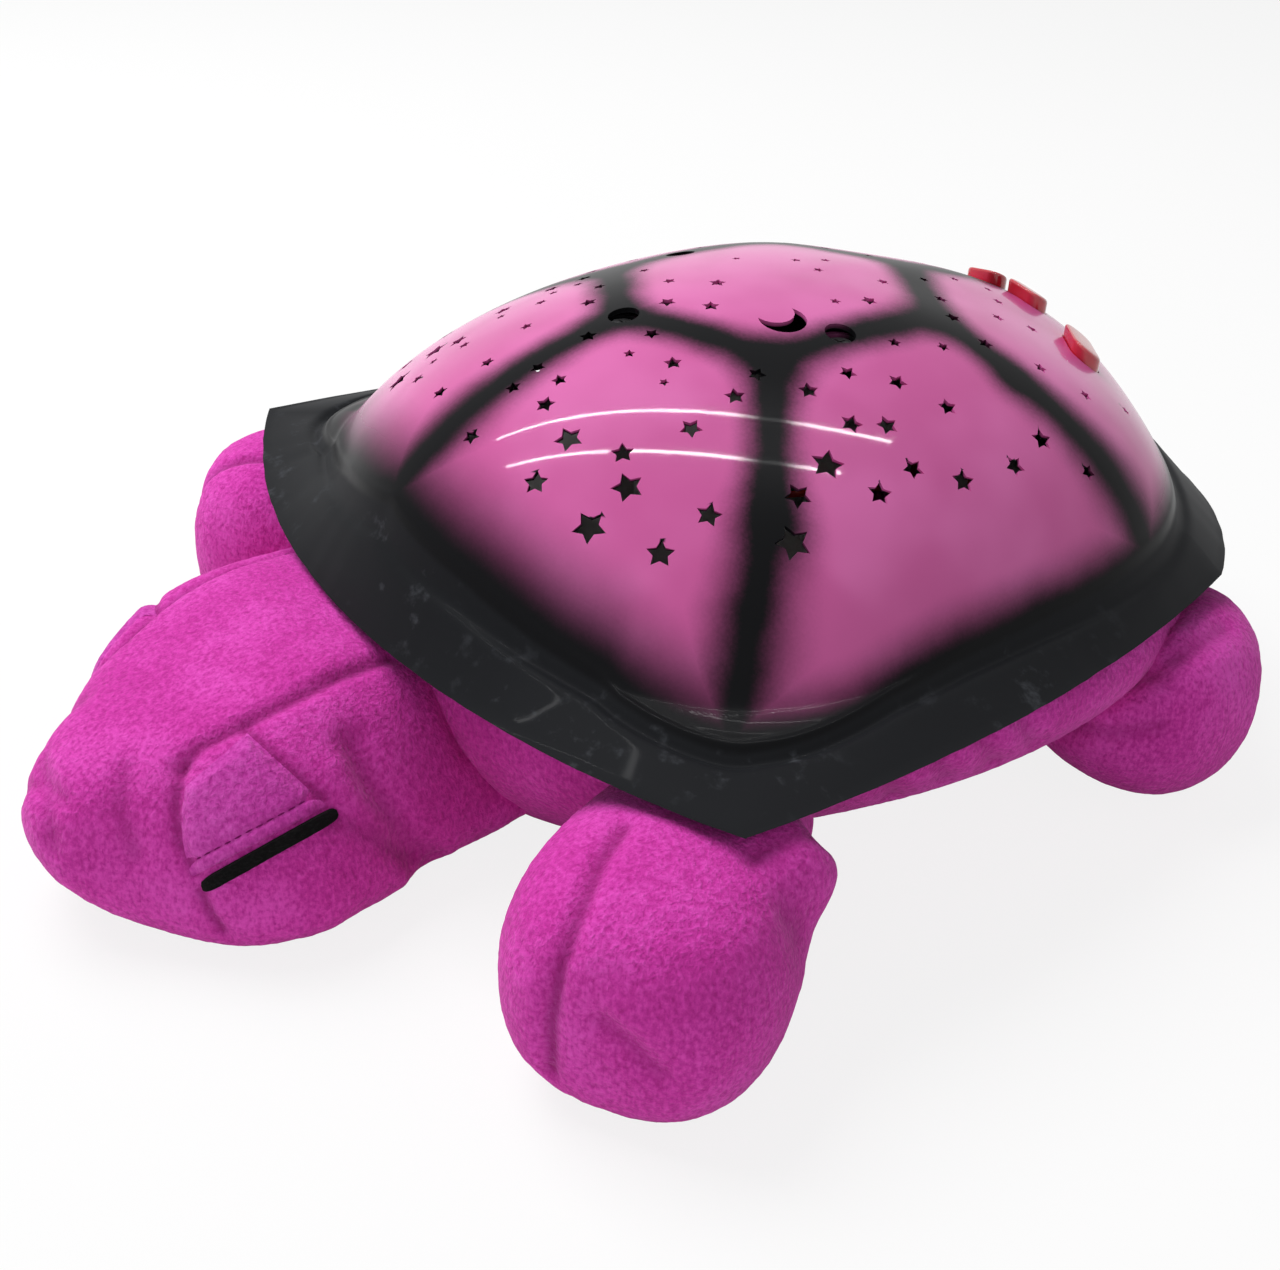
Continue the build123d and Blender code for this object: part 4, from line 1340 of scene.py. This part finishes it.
        copies = stamp.node("GeometryNodeInstanceOnPoints", {}, laid)
        stamp.lay(cutters, copies, material)
        return cutters

    def moon(self) -> list[Plan]:
        """Outline of the crescent.

        Returns:
            The outline.
        """
        gap = self.moon_shift
        along = (gap**2 + self.moon_radius**2 - self.moon_bite**2) / (2 * gap)
        half = math.acos(along / self.moon_radius)
        bite_half = math.acos((gap - along) / self.moon_bite)
        outer = np.linspace(math.pi + half, 3 * math.pi - half, self.moon_steps)
        inner = np.linspace(bite_half, -bite_half, self.bite_steps)[1:-1]
        points = [self.moon_radius * np.exp(1j * a) for a in outer]
        points += [self.moon_bite * np.exp(1j * a) - gap for a in inner]
        return [(p.real, p.imag) for p in points]

    @staticmethod
    def circle(radius: float, count: int) -> list[Plan]:
        """Outline of a circle."""
        turns = [2 * math.pi * k / count for k in range(count)]
        return [(radius * math.cos(a), radius * math.sin(a)) for a in turns]

    def post(self, spot: Plan, radius: float, low: float, high: float, count: int = 28) -> tuple:
        """Upright round prism.

        Args:
            spot: Its plan place.
            radius: Its radius.
            low: Its lower end.
            high: Its upper end.
            count: How many sides it has.

        Returns:
            Its points and faces.
        """
        base = Vector((spot[0], spot[1] + self.middle_y, 0))
        return self.prism(self.circle(radius, count), base, UPRIGHT, low, high)

    @staticmethod
    def joined(name: str, prisms: Sequence[tuple]) -> bpy.types.Object:
        """One object of several prisms.

        Args:
            name: The object's name.
            prisms: Points and faces of each prism.

        Returns:
            The object.
        """
        points: list = []
        faces: list = []
        for own_points, own_faces in prisms:
            start = len(points)
            points += own_points
            faces += [tuple(v + start for v in face) for face in own_faces]
        return new_object(name, mesh_from(name, np.array(points), faces))

    def build(
        self, slots: Sequence[tuple[list[Plan], float, float]], material: bpy.types.Material
    ) -> bpy.types.Object:
        """Make the pierced shell.

        Args:
            slots: Outline and plan place of each button's slot.
            material: The shell's finish.

        Returns:
            The shell.
        """
        shell = new_object("pierced_shell", self.body_mesh())
        self.tree = tree_of(shell.data)
        cuts, bosses = [], []
        place, normal = self.lie(*self.moon_place)
        cuts.append(self.prism(self.moon(), place, normal, -self.cut_depth, self.cut_depth))
        for spot in self.cup_places:
            top = self.lie(*spot)[0].z
            low, floor = self.boss_z, self.cup_floor_z
            bosses.append(self.post(spot, self.boss_radius, low, top - self.boss_sink))
            cuts.append(self.post(spot, self.cup_radius, floor, top + self.cup_over))
            hole = (low - self.hole_under, floor + self.hole_over)
            cuts.append(self.post(spot, self.screw_hole, *hole, self.hole_sides))
        for outline, x, y in slots:
            top = self.lie(x, y)[0].z
            base = Vector((x, y + self.middle_y, 0))
            cuts.append(self.prism(outline, base, UPRIGHT, top - self.slot_reach, top + self.slot_reach))
        steps = (
            (self.joined("shell_bosses", bosses), "UNION", "MANIFOLD"),
            (self.joined("shell_cuts", cuts), "DIFFERENCE", "EXACT"),
            (self.star_cutters(material), "DIFFERENCE", "EXACT"),
        )
        for tool, operation, solver in steps:
            modifier = shell.modifiers.new(tool.name, "BOOLEAN")
            modifier.operation = operation
            modifier.solver = solver
            modifier.object = tool
            baked(shell)
            bpy.data.objects.remove(tool)
        smooth(shell.data, self.sharp_angle)
        self.mark_heights(shell.data)
        return shell

    def mark_heights(self, mesh: bpy.types.Mesh) -> None:
        """Note on each vertex how far it lies above the crease, for the paint; inside faces get a height far
        below it, so the inside is painted dark as painted shade seen through the stars.

        Args:
            mesh: The pierced shell.
        """
        places = self.places.reshape(-1, 3) * MM
        finder = KDTree(len(places))
        for number, place in enumerate(places):
            finder.insert(place, number)
        finder.balance()
        above = self.above.ravel()
        # Inside faces get a height that paints them dark: painted shade.
        values = [
            self.shaded_inside_height if vertex.normal.z < 0 else above[finder.find(vertex.co)[1]]
            for vertex in mesh.vertices
        ]
        mesh.attributes.new(self.HEIGHT_NAME, "FLOAT", "POINT").data.foreach_set("value", values)

    def dress(self, shell: bpy.types.Object, material: bpy.types.Material) -> None:
        """Paint the shell and put it on its body.

        Args:
            shell: The pierced shell.
            material: Its finish.
        """
        paint(shell, material)
        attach(shell, ROOT_BODY)
        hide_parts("shell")
        LOG.info("shell: %d faces", len(shell.data.polygons))


# Buttons


@dataclass
class Button:
    """One push button: a rounded cap that follows the dome, with its sides down in the slot."""

    node: str
    place: Plan
    length: float
    width: float
    turn: float
    proud: float = 3.6
    sink: float = 4.5
    crown: tuple[Span, ...] = (
        (0.0, -0.9), (-0.16, -0.42), (-0.5, -0.12), (-1.0, 0.0), (-1.8, 0.1), (-2.6, 0.14), (-3.4, 0.16),
    )
    sharp_angle: float = 50.0
    around: int = 40

    def outline(self, grow: float) -> list[Plan]:
        """Outline of the cap.

        Args:
            grow: How far it is drawn out from the cap's size.

        Returns:
            The outline about the button's place.
        """
        half = (self.length - self.width) / 2
        radius = max(self.width / 2 + grow, 0.05)
        spin = complex(math.cos(math.radians(self.turn)), math.sin(math.radians(self.turn)))
        points = []
        for k in range(self.around):
            angle = 2 * math.pi * (k + 0.5) / self.around
            centre = half if math.cos(angle) > 0 else -half
            p = (centre + radius * complex(math.cos(angle), math.sin(angle))) * spin
            points.append((p.real, p.imag))
        return points

    def build(self, shell: Shell, material: bpy.types.Material) -> None:
        """Make the button.

        Args:
            shell: The shell that it stands out of.
            material: Its finish.
        """
        middle, normal = shell.lie(*self.place)
        slope = Vector((-normal.x / normal.z, -normal.y / normal.z))
        rows = [(0.0, -self.sink)] + [(grow, self.proud + rise) for grow, rise in self.crown]
        points, faces = [], []
        for grow, rise in rows:
            for x, y in self.outline(grow):
                height = middle.z + slope.x * x + slope.y * y + rise
                points.append((self.place[0] + x, self.place[1] + shell.middle_y + y, height))
        n = self.around
        for row in range(len(rows) - 1):
            faces += [
                (row * n + k, row * n + (k + 1) % n, (row + 1) * n + (k + 1) % n, (row + 1) * n + k)
                for k in range(n)
            ]
        faces.append(tuple(range(n - 1, -1, -1)))
        faces.append(tuple((len(rows) - 1) * n + k for k in range(n)))
        cap = new_object(f"{self.node}_cap", mesh_from(f"{self.node}_cap", np.array(points), faces))
        smooth(cap.data, self.sharp_angle)
        paint(cap, material)
        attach(cap, self.node)
        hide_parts(self.node)
        LOG.info("button: %s", self.node)


# Stuffed pieces


class PhotoLine:
    """Seams, folds and patches drawn on the photograph, in its pixels."""

    CROWN_SEAM = ((392, 656), (340, 675), (305, 692), (253, 718), (198, 746), (180, 768))
    LID_FRONT_SEAM = ((180, 768), (174, 807), (178, 843), (194, 874))
    CHEEK_SEAM = ((200, 894), (208, 914), (221, 932))
    LID_REAR_SEAM = ((247, 730), (277, 760), (301, 780), (324, 799))
    FOLD_BEHIND_EYE = ((356, 744), (372, 780), (399, 823), (435, 863), (447, 870))
    EYE_CORNER_TUCK = ((336, 815), (376, 835), (419, 863))
    EYE_CORNER_BULGE = ((340, 770), (356, 800), (390, 828))
    NOSE_WRINKLE = ((123, 768), (119, 811), (134, 855))
    MUZZLE_WRINKLE = ((40, 760), (44, 807), (51, 847))
    FLIPPER_SEAM = ((623, 825), (600, 857), (574, 923), (557, 974), (549, 1025), (549, 1074))
    FLIPPER_DENT = ((602, 1023), (631, 1048), (656, 1074))
    FLIPPER_RIDGE = ((618, 1010), (650, 1036))
    ELBOW_BULGE = ((782, 850), (800, 872))
    ELBOW_TUCK = ((790, 915), (800, 930))
    ARMPIT_TUCK = ((752, 862), (798, 845))
    REAR_TOP_FOLD = ((1140, 667), (1189, 652), (1226, 626))
    REAR_ROOT_FOLD = ((1113, 680), (1136, 680), (1157, 671))
    REAR_RIDGE = ((1072, 709), (1106, 718), (1143, 714))
    REAR_LOW_FOLD = ((1066, 722), (1110, 735), (1160, 727))
    FIRST_GATHER = ((880, 770), (893, 800))
    SECOND_GATHER = ((940, 760), (948, 790))
    THIRD_GATHER = ((985, 735), (995, 765))
    FOURTH_GATHER = ((1025, 720), (1035, 745))
    LID = ((192, 877), (327, 806), (247, 733), (186, 786))
    EYE_STRIP = ((206, 894), (340, 819), (335, 805), (200, 880))


@dataclass(frozen=True)
class Fold:
    """A seam, tuck or wrinkle, drawn on the photograph."""

    path: tuple[Pixel, ...]
    width: float
    depth: float
    sewn: bool = False


@dataclass
class Stuffed:
    """One stuffed piece: its solid remeshed, blown up between its seams, then creased and napped."""

    node: str
    held: tuple[str, float, float]
    folds: tuple[Fold, ...] = ()
    both_sides: bool = False
    voxel: float = 4.4
    grow: float = 2.2
    grow_below: float = 54.0
    grow_fade: float = 10.0
    swell: float = 2.6
    pressure: float = 4.0
    fill: float = 0.8
    finer: int = 2
    tuft_rise: float = 0.13
    lump_rise: float = 0.35
    body: str = ROOT_BODY
    plane: MirrorPlane = MirrorPlane()
    weld_gap: float = 0.02
    relax_rounds: int = 6
    pin_share: float = 0.7
    seam_shade: float = 0.8
    fold_shade: float = 0.4
    lump_scale: float = 42.0
    tuft_scale: float = 420.0
    strand_scale: float = 800.0
    strand_share: float = 0.6
    piece: Optional[bpy.types.Object] = field(default=None, repr=False)
    start: Optional[np.ndarray] = field(default=None, repr=False)
    seams: list = field(default_factory=list, repr=False)

    def begin(self, frame: dict, camera: PhotoCamera) -> None:
        """Copy the solid, remesh it and set its cloth up.

        Args:
            frame: The loaded frame.
            camera: The photograph's viewpoint, for the seams.
        """
        mesh = frame["nodes"][self.node].data.copy()
        self.piece = new_object(f"{self.node}_plush", mesh)
        weld = self.piece.modifiers.new("weld", "WELD")
        weld.merge_threshold = self.weld_gap * MM
        remesh = self.piece.modifiers.new("remesh", "REMESH")
        remesh.mode = "VOXEL"
        remesh.voxel_size = self.voxel * MM
        relax = self.piece.modifiers.new("relax", "SMOOTH")
        relax.factor = 0.5
        relax.iterations = self.relax_rounds
        baked(self.piece)
        mesh = self.piece.data
        points = points_of(mesh)
        share = np.clip((self.grow_below - points[:, 2] / MM) / self.grow_fade, 0, 1)
        set_points(mesh, points + normals_of(mesh) * (share * self.grow * MM)[:, None])
        self.start = points_of(mesh)
        tree = tree_of(mesh)
        for fold in self.folds:
            if fold.sewn:
                self.seams.append(camera.trace(tree, fold.path))
        self.set_cloth(mesh)

    def set_cloth(self, mesh: bpy.types.Mesh) -> None:
        """Pin the seams and the hidden end, and add the cloth.

        Args:
            mesh: The remeshed form.
        """
        axis, low, high = self.held
        along = self.start[:, "xyz".index(axis)] / MM
        pinned = (along > low) & (along < high)
        for seam in self.seams:
            for line in self.lines(seam):
                pinned |= self.gap(self.start, line) < self.voxel * self.pin_share * MM
        group = self.piece.vertex_groups.new(name="pin")
        group.add([int(k) for k in np.flatnonzero(pinned)], 1.0, "REPLACE")
        cloth = self.piece.modifiers.new("cloth", "CLOTH")
        cloth.settings.vertex_group_mass = "pin"
        cloth.settings.use_pressure = True
        cloth.settings.uniform_pressure_force = self.pressure
        cloth.settings.effector_weights.gravity = 0.0
        cloth.settings.quality = 5
        cloth.collision_settings.use_collision = False
        cloth.point_cache.frame_start = 1
        cloth.point_cache.frame_end = CLOTH_FRAMES

    def lines(self, path: np.ndarray) -> list[np.ndarray]:
        """A line, and its reflection where the piece has two like sides."""
        return [path, self.plane.reflect(path)] if self.both_sides else [path]

    @staticmethod
    def gap(points: np.ndarray, path: np.ndarray) -> np.ndarray:
        """Distance of points from a line.

        Args:
            points: The points.
            path: Corners of the line.

        Returns:
            The distances.
        """
        best = np.full(len(points), 1.0)
        for a, b in zip(path, path[1:]):
            run = b - a
            square = float(run @ run)
            share = np.clip((points - a) @ run / square, 0, 1) if square > 0 else np.zeros(len(points))
            best = np.minimum(best, np.linalg.norm(points - a - share[:, None] * run, axis=1))
        return best

    def settle(self, camera: PhotoCamera) -> None:
        """Take the cloth's form, refine it and press the folds in.

        Args:
            camera: The photograph's viewpoint, for the folds.
        """
        baked(self.piece)
        mesh = self.piece.data
        moved = points_of(mesh) - self.start
        reach = np.linalg.norm(moved, axis=1, keepdims=True)
        moved *= np.minimum(1, self.swell * MM / np.maximum(reach, 1e-9))
        set_points(mesh, self.start + moved)
        finer = self.piece.modifiers.new("finer", "SUBSURF")
        finer.levels = finer.render_levels = self.finer
        baked(self.piece)
        self.press(self.piece.data, camera)

    def press(self, mesh: bpy.types.Mesh, camera: PhotoCamera) -> None:
        """Press the folds into a mesh and raise its nap, and note on each vertex the painted shade of a
        nearby sunk fold or seam.

        Args:
            mesh: The refined form.
            camera: The photograph's viewpoint.
        """
        tree = tree_of(mesh)
        points = points_of(mesh)
        normals = normals_of(mesh)
        shift = np.zeros(len(points))
        shade = np.zeros(len(points))
        for fold in self.folds:
            path = camera.trace(tree, fold.path)
            if len(path) < 2:
                LOG.warning("fold off its piece: %s %s", self.node, fold.path[0])
                continue
            # Painted shade, stronger on sewn seams, only where a fold is sunk.
            depth_shade = (self.seam_shade if fold.sewn else self.fold_shade) * (fold.depth > 0)
            for line in self.lines(path):
                near = np.exp(-((self.gap(points, line) / (fold.width * MM)) ** 2))
                shift -= fold.depth * MM * near
                shade = np.maximum(shade, near**2 * depth_shade)
        for k, place in enumerate(Vector(p) for p in points):
            strand = self.strand_share * noise.noise(place * self.strand_scale)
            shift[k] += self.lump_rise * MM * noise.noise(place * self.lump_scale)
            shift[k] += self.tuft_rise * MM * (noise.noise(place * self.tuft_scale) + strand)
        points = points + normals * shift[:, None]
        points[:, 2] = np.maximum(points[:, 2], 0.0)
        set_points(mesh, points)
        mesh.shade_smooth()
        mesh.attributes.new(PlushFinish.FOLD_NAME, "FLOAT", "POINT").data.foreach_set("value", shade)

    def dress(self, piece: bpy.types.Object, node: str, material: bpy.types.Material) -> None:
        """Paint a piece and put it on its body.

        Args:
            piece: The piece.
            node: The solid that it stands for.
            material: Its finish.
        """
        paint(piece, material)
        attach(piece, self.body)
        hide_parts(node)
        LOG.info("stuffed: %s, %d faces", piece.name, len(piece.data.polygons))

    def finish(self, material: bpy.types.Material) -> None:
        """Paint the piece, and its mirror twin where it has one.

        Args:
            material: The plush.
        """
        self.dress(self.piece, self.node, material)
        if self.node.endswith("_left"):
            twin = self.node.replace("_left", "_right")
            mesh = self.plane.twin(f"{twin}_plush", self.piece.data)
            self.dress(new_object(f"{twin}_plush", mesh), twin, material)


@dataclass(frozen=True)
class Patch:
    """A sewn-on piece laid over the head, given by its four corners on the photograph."""

    node: str
    corners: tuple[Pixel, Pixel, Pixel, Pixel]
    thickness: float
    slot: str
    bow: float = 0.0
    hem: float = 0.0
    across: int = 56
    along: int = 36
    tuft_rise: float = 0.12
    tuft_scale: float = 700.0
    crown_share: float = 0.09
    edge_share: float = 0.35
    sewn_share: float = 0.14
    hem_place: float = 0.15
    hem_width: float = 0.03
    hem_row: int = 5
    hem_trim: int = 2
    under: float = 1.2
    blunt: float = 0.0
    blunt_power: int = 16
    sharp_angle: float = 60.0

    def build(self, camera: PhotoCamera, tree: BVHTree, material: bpy.types.Material) -> list[np.ndarray]:
        """Make the patch and its twin on the other side.

        Args:
            camera: The photograph's viewpoint.
            tree: The head's ray tree.
            material: The patch's finish.

        Returns:
            The hem's line on the patch and on its twin, in metres.
        """
        upper, lower = self.sheets(camera, tree)
        mesh = mesh_from(f"{self.node}_left_patch", np.array(upper + lower), self.faces())
        smooth(mesh, self.sharp_angle)
        for side in ("left", "right"):
            name = f"{self.node}_{side}"
            own = mesh if side == "left" else HEAD_PLANE.twin(f"{name}_patch", mesh)
            made = new_object(f"{name}_patch", own)
            paint(made, material)
            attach(made, ROOT_BODY)
            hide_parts(name)
            LOG.info("patch: %s", name)
        row = upper[self.hem_row * self.across : (self.hem_row + 1) * self.across]
        hem = np.array(row[self.hem_trim : -self.hem_trim]) * MM
        return [hem, HEAD_PLANE.reflect(hem)]

    def sheets(self, camera: PhotoCamera, tree: BVHTree) -> tuple[list, list]:
        """Lay the patch's outside and underside onto the head.

        Args:
            camera: The photograph's viewpoint.
            tree: The head's ray tree.

        Returns:
            Places of the outside and of the underside, row by row, in millimetres.
        """
        first, second, third, fourth = (np.array(c) for c in self.corners)
        upper, lower = [], []
        for v in (row / (self.along - 1) for row in range(self.along)):
            for u in (column / (self.across - 1) for column in range(self.across)):
                end = abs(2 * u - 1) ** self.blunt_power * self.blunt
                w = 0.5 + (v - 0.5) * math.sqrt(1 - end)
                pixel = (first * (1 - u) + second * u) * (1 - w) + (fourth * (1 - u) + third * u) * w
                pixel[0] -= self.bow * 4 * v * (1 - v) * (1 - u)
                hit, normal, _, _ = tree.ray_cast(*camera.ray((pixel[0], pixel[1])))
                place = Vector(hit)
                rise = self.rise(u, v) + self.tuft_rise * noise.noise(place * self.tuft_scale)
                upper.append((place / MM + normal * rise)[:])
                lower.append((place / MM - normal * self.under)[:])
        return upper, lower

    def rise(self, u: float, v: float) -> float:
        """Height of the patch over the head.

        Args:
            u: Share of the way along the patch.
            v: Share of the way up it.

        Returns:
            The height, in millimetres.
        """
        edge = min(u, 1 - u, v, 1 - v)
        crown = 1 - (1 - min(edge / self.crown_share, 1)) ** 2
        sewn = min(min(u, 1 - u, 1 - v) / self.sewn_share, 1) if self.hem else 1
        full = self.thickness * (self.edge_share + (1 - self.edge_share) * crown) * sewn
        return full - self.hem * math.exp(-(((v - self.hem_place) / self.hem_width) ** 2))

    def faces(self) -> list[tuple]:
        """Faces of the closed patch.

        Returns:
            Vertex numbers of each face.
        """
        count = self.across * self.along
        faces = []
        for row in range(self.along - 1):
            for column in range(self.across - 1):
                a = row * self.across + column
                b, c, d = a + 1, a + self.across + 1, a + self.across
                faces.append((a, b, c, d))
                faces.append((count + d, count + c, count + b, count + a))
        border = list(range(self.across))
        border += [r * self.across + self.across - 1 for r in range(1, self.along)]
        border += [(self.along - 1) * self.across + c for c in range(self.across - 2, -1, -1)]
        border += [r * self.across for r in range(self.along - 2, 0, -1)]
        faces += [(b, a, count + a, count + b) for a, b in zip(border, border[1:] + border[:1])]
        return faces


# Assembly


class NodeFinish(Enum):
    """Finishes of the solids that stay as they are, by material slot."""

    SCREW = "screw_steel"
    BOARD = "board"
    BLACK = "black_plastic"
    TRAY = "tray_plastic"
    RED_LENS = "led_red_lens"
    GREEN_LENS = "led_green_lens"
    BLUE_LENS = "led_blue_lens"
    CELL = "cell_wrap"
    CONTACT = "spring_steel"
    BASKET = "basket_steel"
    FERRITE = "ferrite"
    CONE = "cone_paper"
    LEAD = "lead_insulation"
    TAPE = "tape"

    def make(self) -> bpy.types.Material:
        """Build the finish.

        Returns:
            The material.
        """
        if self is NodeFinish.BOARD:
            return BoardFinish(self.value).make()
        if self is NodeFinish.TAPE:
            return FeltFinish(self.value, (0.62, 0.62, 0.60), (0.8, 0.8, 0.78)).make()
        lens = (0.12, 0.0, 0.6)
        looks = {
            NodeFinish.SCREW: ((0.20, 0.20, 0.21), (0.32, 0.31, 0.30), 0.34, 1.0),
            NodeFinish.BLACK: ((0.012, 0.012, 0.013), (0.03, 0.03, 0.03), 0.45),
            NodeFinish.TRAY: ((0.70, 0.70, 0.68), (0.60, 0.60, 0.57), 0.42),
            NodeFinish.RED_LENS: ((0.60, 0.02, 0.02), (0.70, 0.05, 0.04), *lens),
            NodeFinish.GREEN_LENS: ((0.02, 0.50, 0.06), (0.05, 0.6, 0.1), *lens),
            NodeFinish.BLUE_LENS: ((0.02, 0.06, 0.65), (0.05, 0.1, 0.7), *lens),
            NodeFinish.CELL: ((0.04, 0.04, 0.045), (0.08, 0.08, 0.08), 0.3, 0.3),
            NodeFinish.CONTACT: ((0.55, 0.54, 0.50), (0.45, 0.44, 0.40), 0.3, 1.0),
            NodeFinish.BASKET: ((0.10, 0.10, 0.10), (0.18, 0.18, 0.18), 0.35, 0.6),
            NodeFinish.FERRITE: ((0.02, 0.02, 0.022), (0.05, 0.05, 0.05), 0.7),
            NodeFinish.CONE: ((0.015, 0.015, 0.015), (0.04, 0.04, 0.04), 0.85),
            NodeFinish.LEAD: ((0.45, 0.01, 0.01), (0.5, 0.03, 0.02), 0.5),
        }
        return MouldedFinish(self.value, *looks[self]).make()


@dataclass
class Turtle:
    """The whole night light."""

    flap_hem_inset: float = 5.0
    flap_hem_steps: int = 40
    flap_hem_start: float = -50.0
    camera: PhotoCamera = field(default_factory=PhotoCamera)
    shell: Shell = field(default_factory=Shell)
    buttons: tuple[Button, ...] = (
        Button("light_button", (35.0, 80.0), 17.6, 8.0, -35.0),
        Button("colour_button", (8.0, 86.0), 12.6, 7.0, 0.0),
        Button("melody_button", (-8.0, 86.0), 12.6, 7.0, 0.0),
        Button("timer_button", (-35.0, 80.0), 17.6, 8.0, 35.0),
    )
    stuffed: tuple[Stuffed, ...] = field(
        default_factory=lambda: (
            Stuffed(
                "head",
                ("y", -84.0, 100.0),
                (
                    Fold(PhotoLine.CROWN_SEAM, 2.0, 1.7, True),
                    Fold(PhotoLine.LID_FRONT_SEAM, 1.9, 1.3, True),
                    Fold(PhotoLine.CHEEK_SEAM, 1.9, 1.3, True),
                    Fold(PhotoLine.LID_REAR_SEAM, 1.9, 1.1, True),
                    Fold(PhotoLine.FOLD_BEHIND_EYE, 4.5, 2.8),
                    Fold(PhotoLine.EYE_CORNER_TUCK, 3.2, 1.5),
                    Fold(PhotoLine.EYE_CORNER_BULGE, 4.5, -1.2),
                    Fold(PhotoLine.NOSE_WRINKLE, 3.0, 0.9),
                    Fold(PhotoLine.MUZZLE_WRINKLE, 3.0, 1.2),
                ),
                both_sides=True,
                plane=HEAD_PLANE,
            ),
            Stuffed(
                "front_flipper_left",
                ("x", 0.0, 92.0),
                (
                    Fold(PhotoLine.FLIPPER_SEAM, 2.2, 1.7, True),
                    Fold(PhotoLine.FLIPPER_DENT, 3.0, 1.2),
                    Fold(PhotoLine.FLIPPER_RIDGE, 3.0, -0.7),
                    Fold(PhotoLine.ELBOW_BULGE, 9.0, -7.5),
                    Fold(PhotoLine.ELBOW_TUCK, 5.0, 1.6),
                    Fold(PhotoLine.ARMPIT_TUCK, 3.0, 1.2),
                ),
                plane=MirrorPlane(offset=4.0, back=13.0),
            ),
            Stuffed(
                "rear_flipper_left",
                ("x", 0.0, 76.0),
                (
                    Fold(PhotoLine.REAR_TOP_FOLD, 3.2, 1.6),
                    Fold(PhotoLine.REAR_ROOT_FOLD, 3.0, 1.3),
                    Fold(PhotoLine.REAR_RIDGE, 4.0, -1.0),
                    Fold(PhotoLine.REAR_LOW_FOLD, 4.0, 1.1),
                ),
            ),
            Stuffed("tail", ("y", 0.0, 128.0)),
            Stuffed(
                "plush_body",
                ("z", 40.0, 70.0),
                (
                    Fold(PhotoLine.FIRST_GATHER, 3.0, 1.8),
                    Fold(PhotoLine.SECOND_GATHER, 3.0, 1.5),
                    Fold(PhotoLine.THIRD_GATHER, 3.0, 1.8),
                    Fold(PhotoLine.FOURTH_GATHER, 3.0, 1.4),
                ),
                both_sides=True,
                voxel=3.8,
                swell=1.4,
                pressure=2.0,
                finer=1,
            ),
            Stuffed(
                "belly_flap",
                ("y", 0.0, 24.0),
                voxel=2.0,
                grow=-0.5,
                swell=0.8,
                finer=1,
                lump_rise=0.2,
                body="belly_flap",
            ),
        )
    )
    lid: Patch = Patch("eyelid", PhotoLine.LID, 1.2, "lid_plush", bow=7.0, hem=0.7)
    strip: Patch = Patch(
        "eye_strip", PhotoLine.EYE_STRIP, 1.2, "felt", across=60, along=12, blunt=0.9
    )

    def build(self, frame: dict) -> None:
        """Make and dress every piece.

        Args:
            frame: The loaded frame.
        """
        plush = PlushFinish("plush").make()
        self.camera.build()
        self.dress_solids(frame)
        slots = [(button.outline(self.shell.slot_clearance), *button.place) for button in self.buttons]
        gloss = ShellFinish().make()
        self.shell.dress(self.shell.build(slots, gloss), gloss)
        red = MouldedFinish("button_red", (0.50, 0.012, 0.030), (0.56, 0.03, 0.05), 0.22, 0.0, 0.5).make()
        for button in self.buttons:
            button.build(self.shell, red)
        self.stuff(frame, plush)
        head = tree_of(self.stuffed[0].piece.data)
        lid = PlushFinish("lid_plush", (0.66, 0.066, 0.46), (0.44, 0.028, 0.285), (0.78, 0.135, 0.60)).make()
        hems = self.lid.build(self.camera, head, lid)
        thread = FeltFinish("thread", (0.20, 0.010, 0.12), (0.34, 0.02, 0.21), 0.3).make()
        Stitches("lid_hem_stitches", "lid_plush").build(hems, thread)
        flap = next(piece for piece in self.stuffed if piece.node == "belly_flap")
        Stitches("flap_stitches", "plush", "belly_flap", 3.6, 2.5).build([self.flap_hem(flap)], thread)
        felt = FeltFinish("felt", (0.004, 0.004, 0.004), (0.012, 0.012, 0.012)).make()
        self.strip.build(self.camera, head, felt)

    def flap_hem(self, flap: Stuffed) -> np.ndarray:
        """Line of the stitches round the underside of the belly flap.

        Args:
            flap: The belly flap.

        Returns:
            Places along the line, in metres.
        """
        low, high = (np.array(corner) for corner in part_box(flap.node))
        inset = self.flap_hem_inset * MM
        left, front = low[:2] + inset
        right, rear = high[:2] - inset
        corners = np.array([(left, front), (left, rear), (right, rear), (right, front), (left, front)])
        tree = tree_of(flap.piece.data)
        places = []
        for start, end in zip(corners, corners[1:]):
            for share in np.linspace(0, 1, self.flap_hem_steps, endpoint=False):
                x, y = start + (end - start) * share
                hit, _, _, _ = tree.ray_cast(Vector((x, y, self.flap_hem_start * MM)), UPRIGHT)
                places.append(hit[:])
        return np.array(places)

    def stuff(self, frame: dict, plush: bpy.types.Material) -> None:
        """Blow up the stuffed pieces together, then finish each.

        Args:
            frame: The loaded frame.
            plush: The plush.
        """
        for piece in self.stuffed:
            piece.begin(frame, self.camera)
        for number in range(1, CLOTH_FRAMES + 1):
            bpy.context.scene.frame_set(number)
        for piece in self.stuffed:
            piece.settle(self.camera)
        bpy.context.scene.frame_set(1)
        for piece in self.stuffed:
            piece.finish(plush)

    def dress_solids(self, frame: dict) -> None:
        """Give the solids that stay their finishes.

        Args:
            frame: The loaded frame.
        """
        made = {finish.value: finish.make() for finish in NodeFinish}
        for part in frame["record"]["subparts"]:
            if part["material_slot"] in made:
                paint(frame["nodes"][part["node"]], made[part["material_slot"]])


def main() -> None:
    """Build the studio and the night light."""
    logging.basicConfig(level=logging.INFO, format="%(name)s: %(message)s")
    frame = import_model()
    Studio().build()
    Turtle().build(frame)


if __name__ == "__main__":
    main()
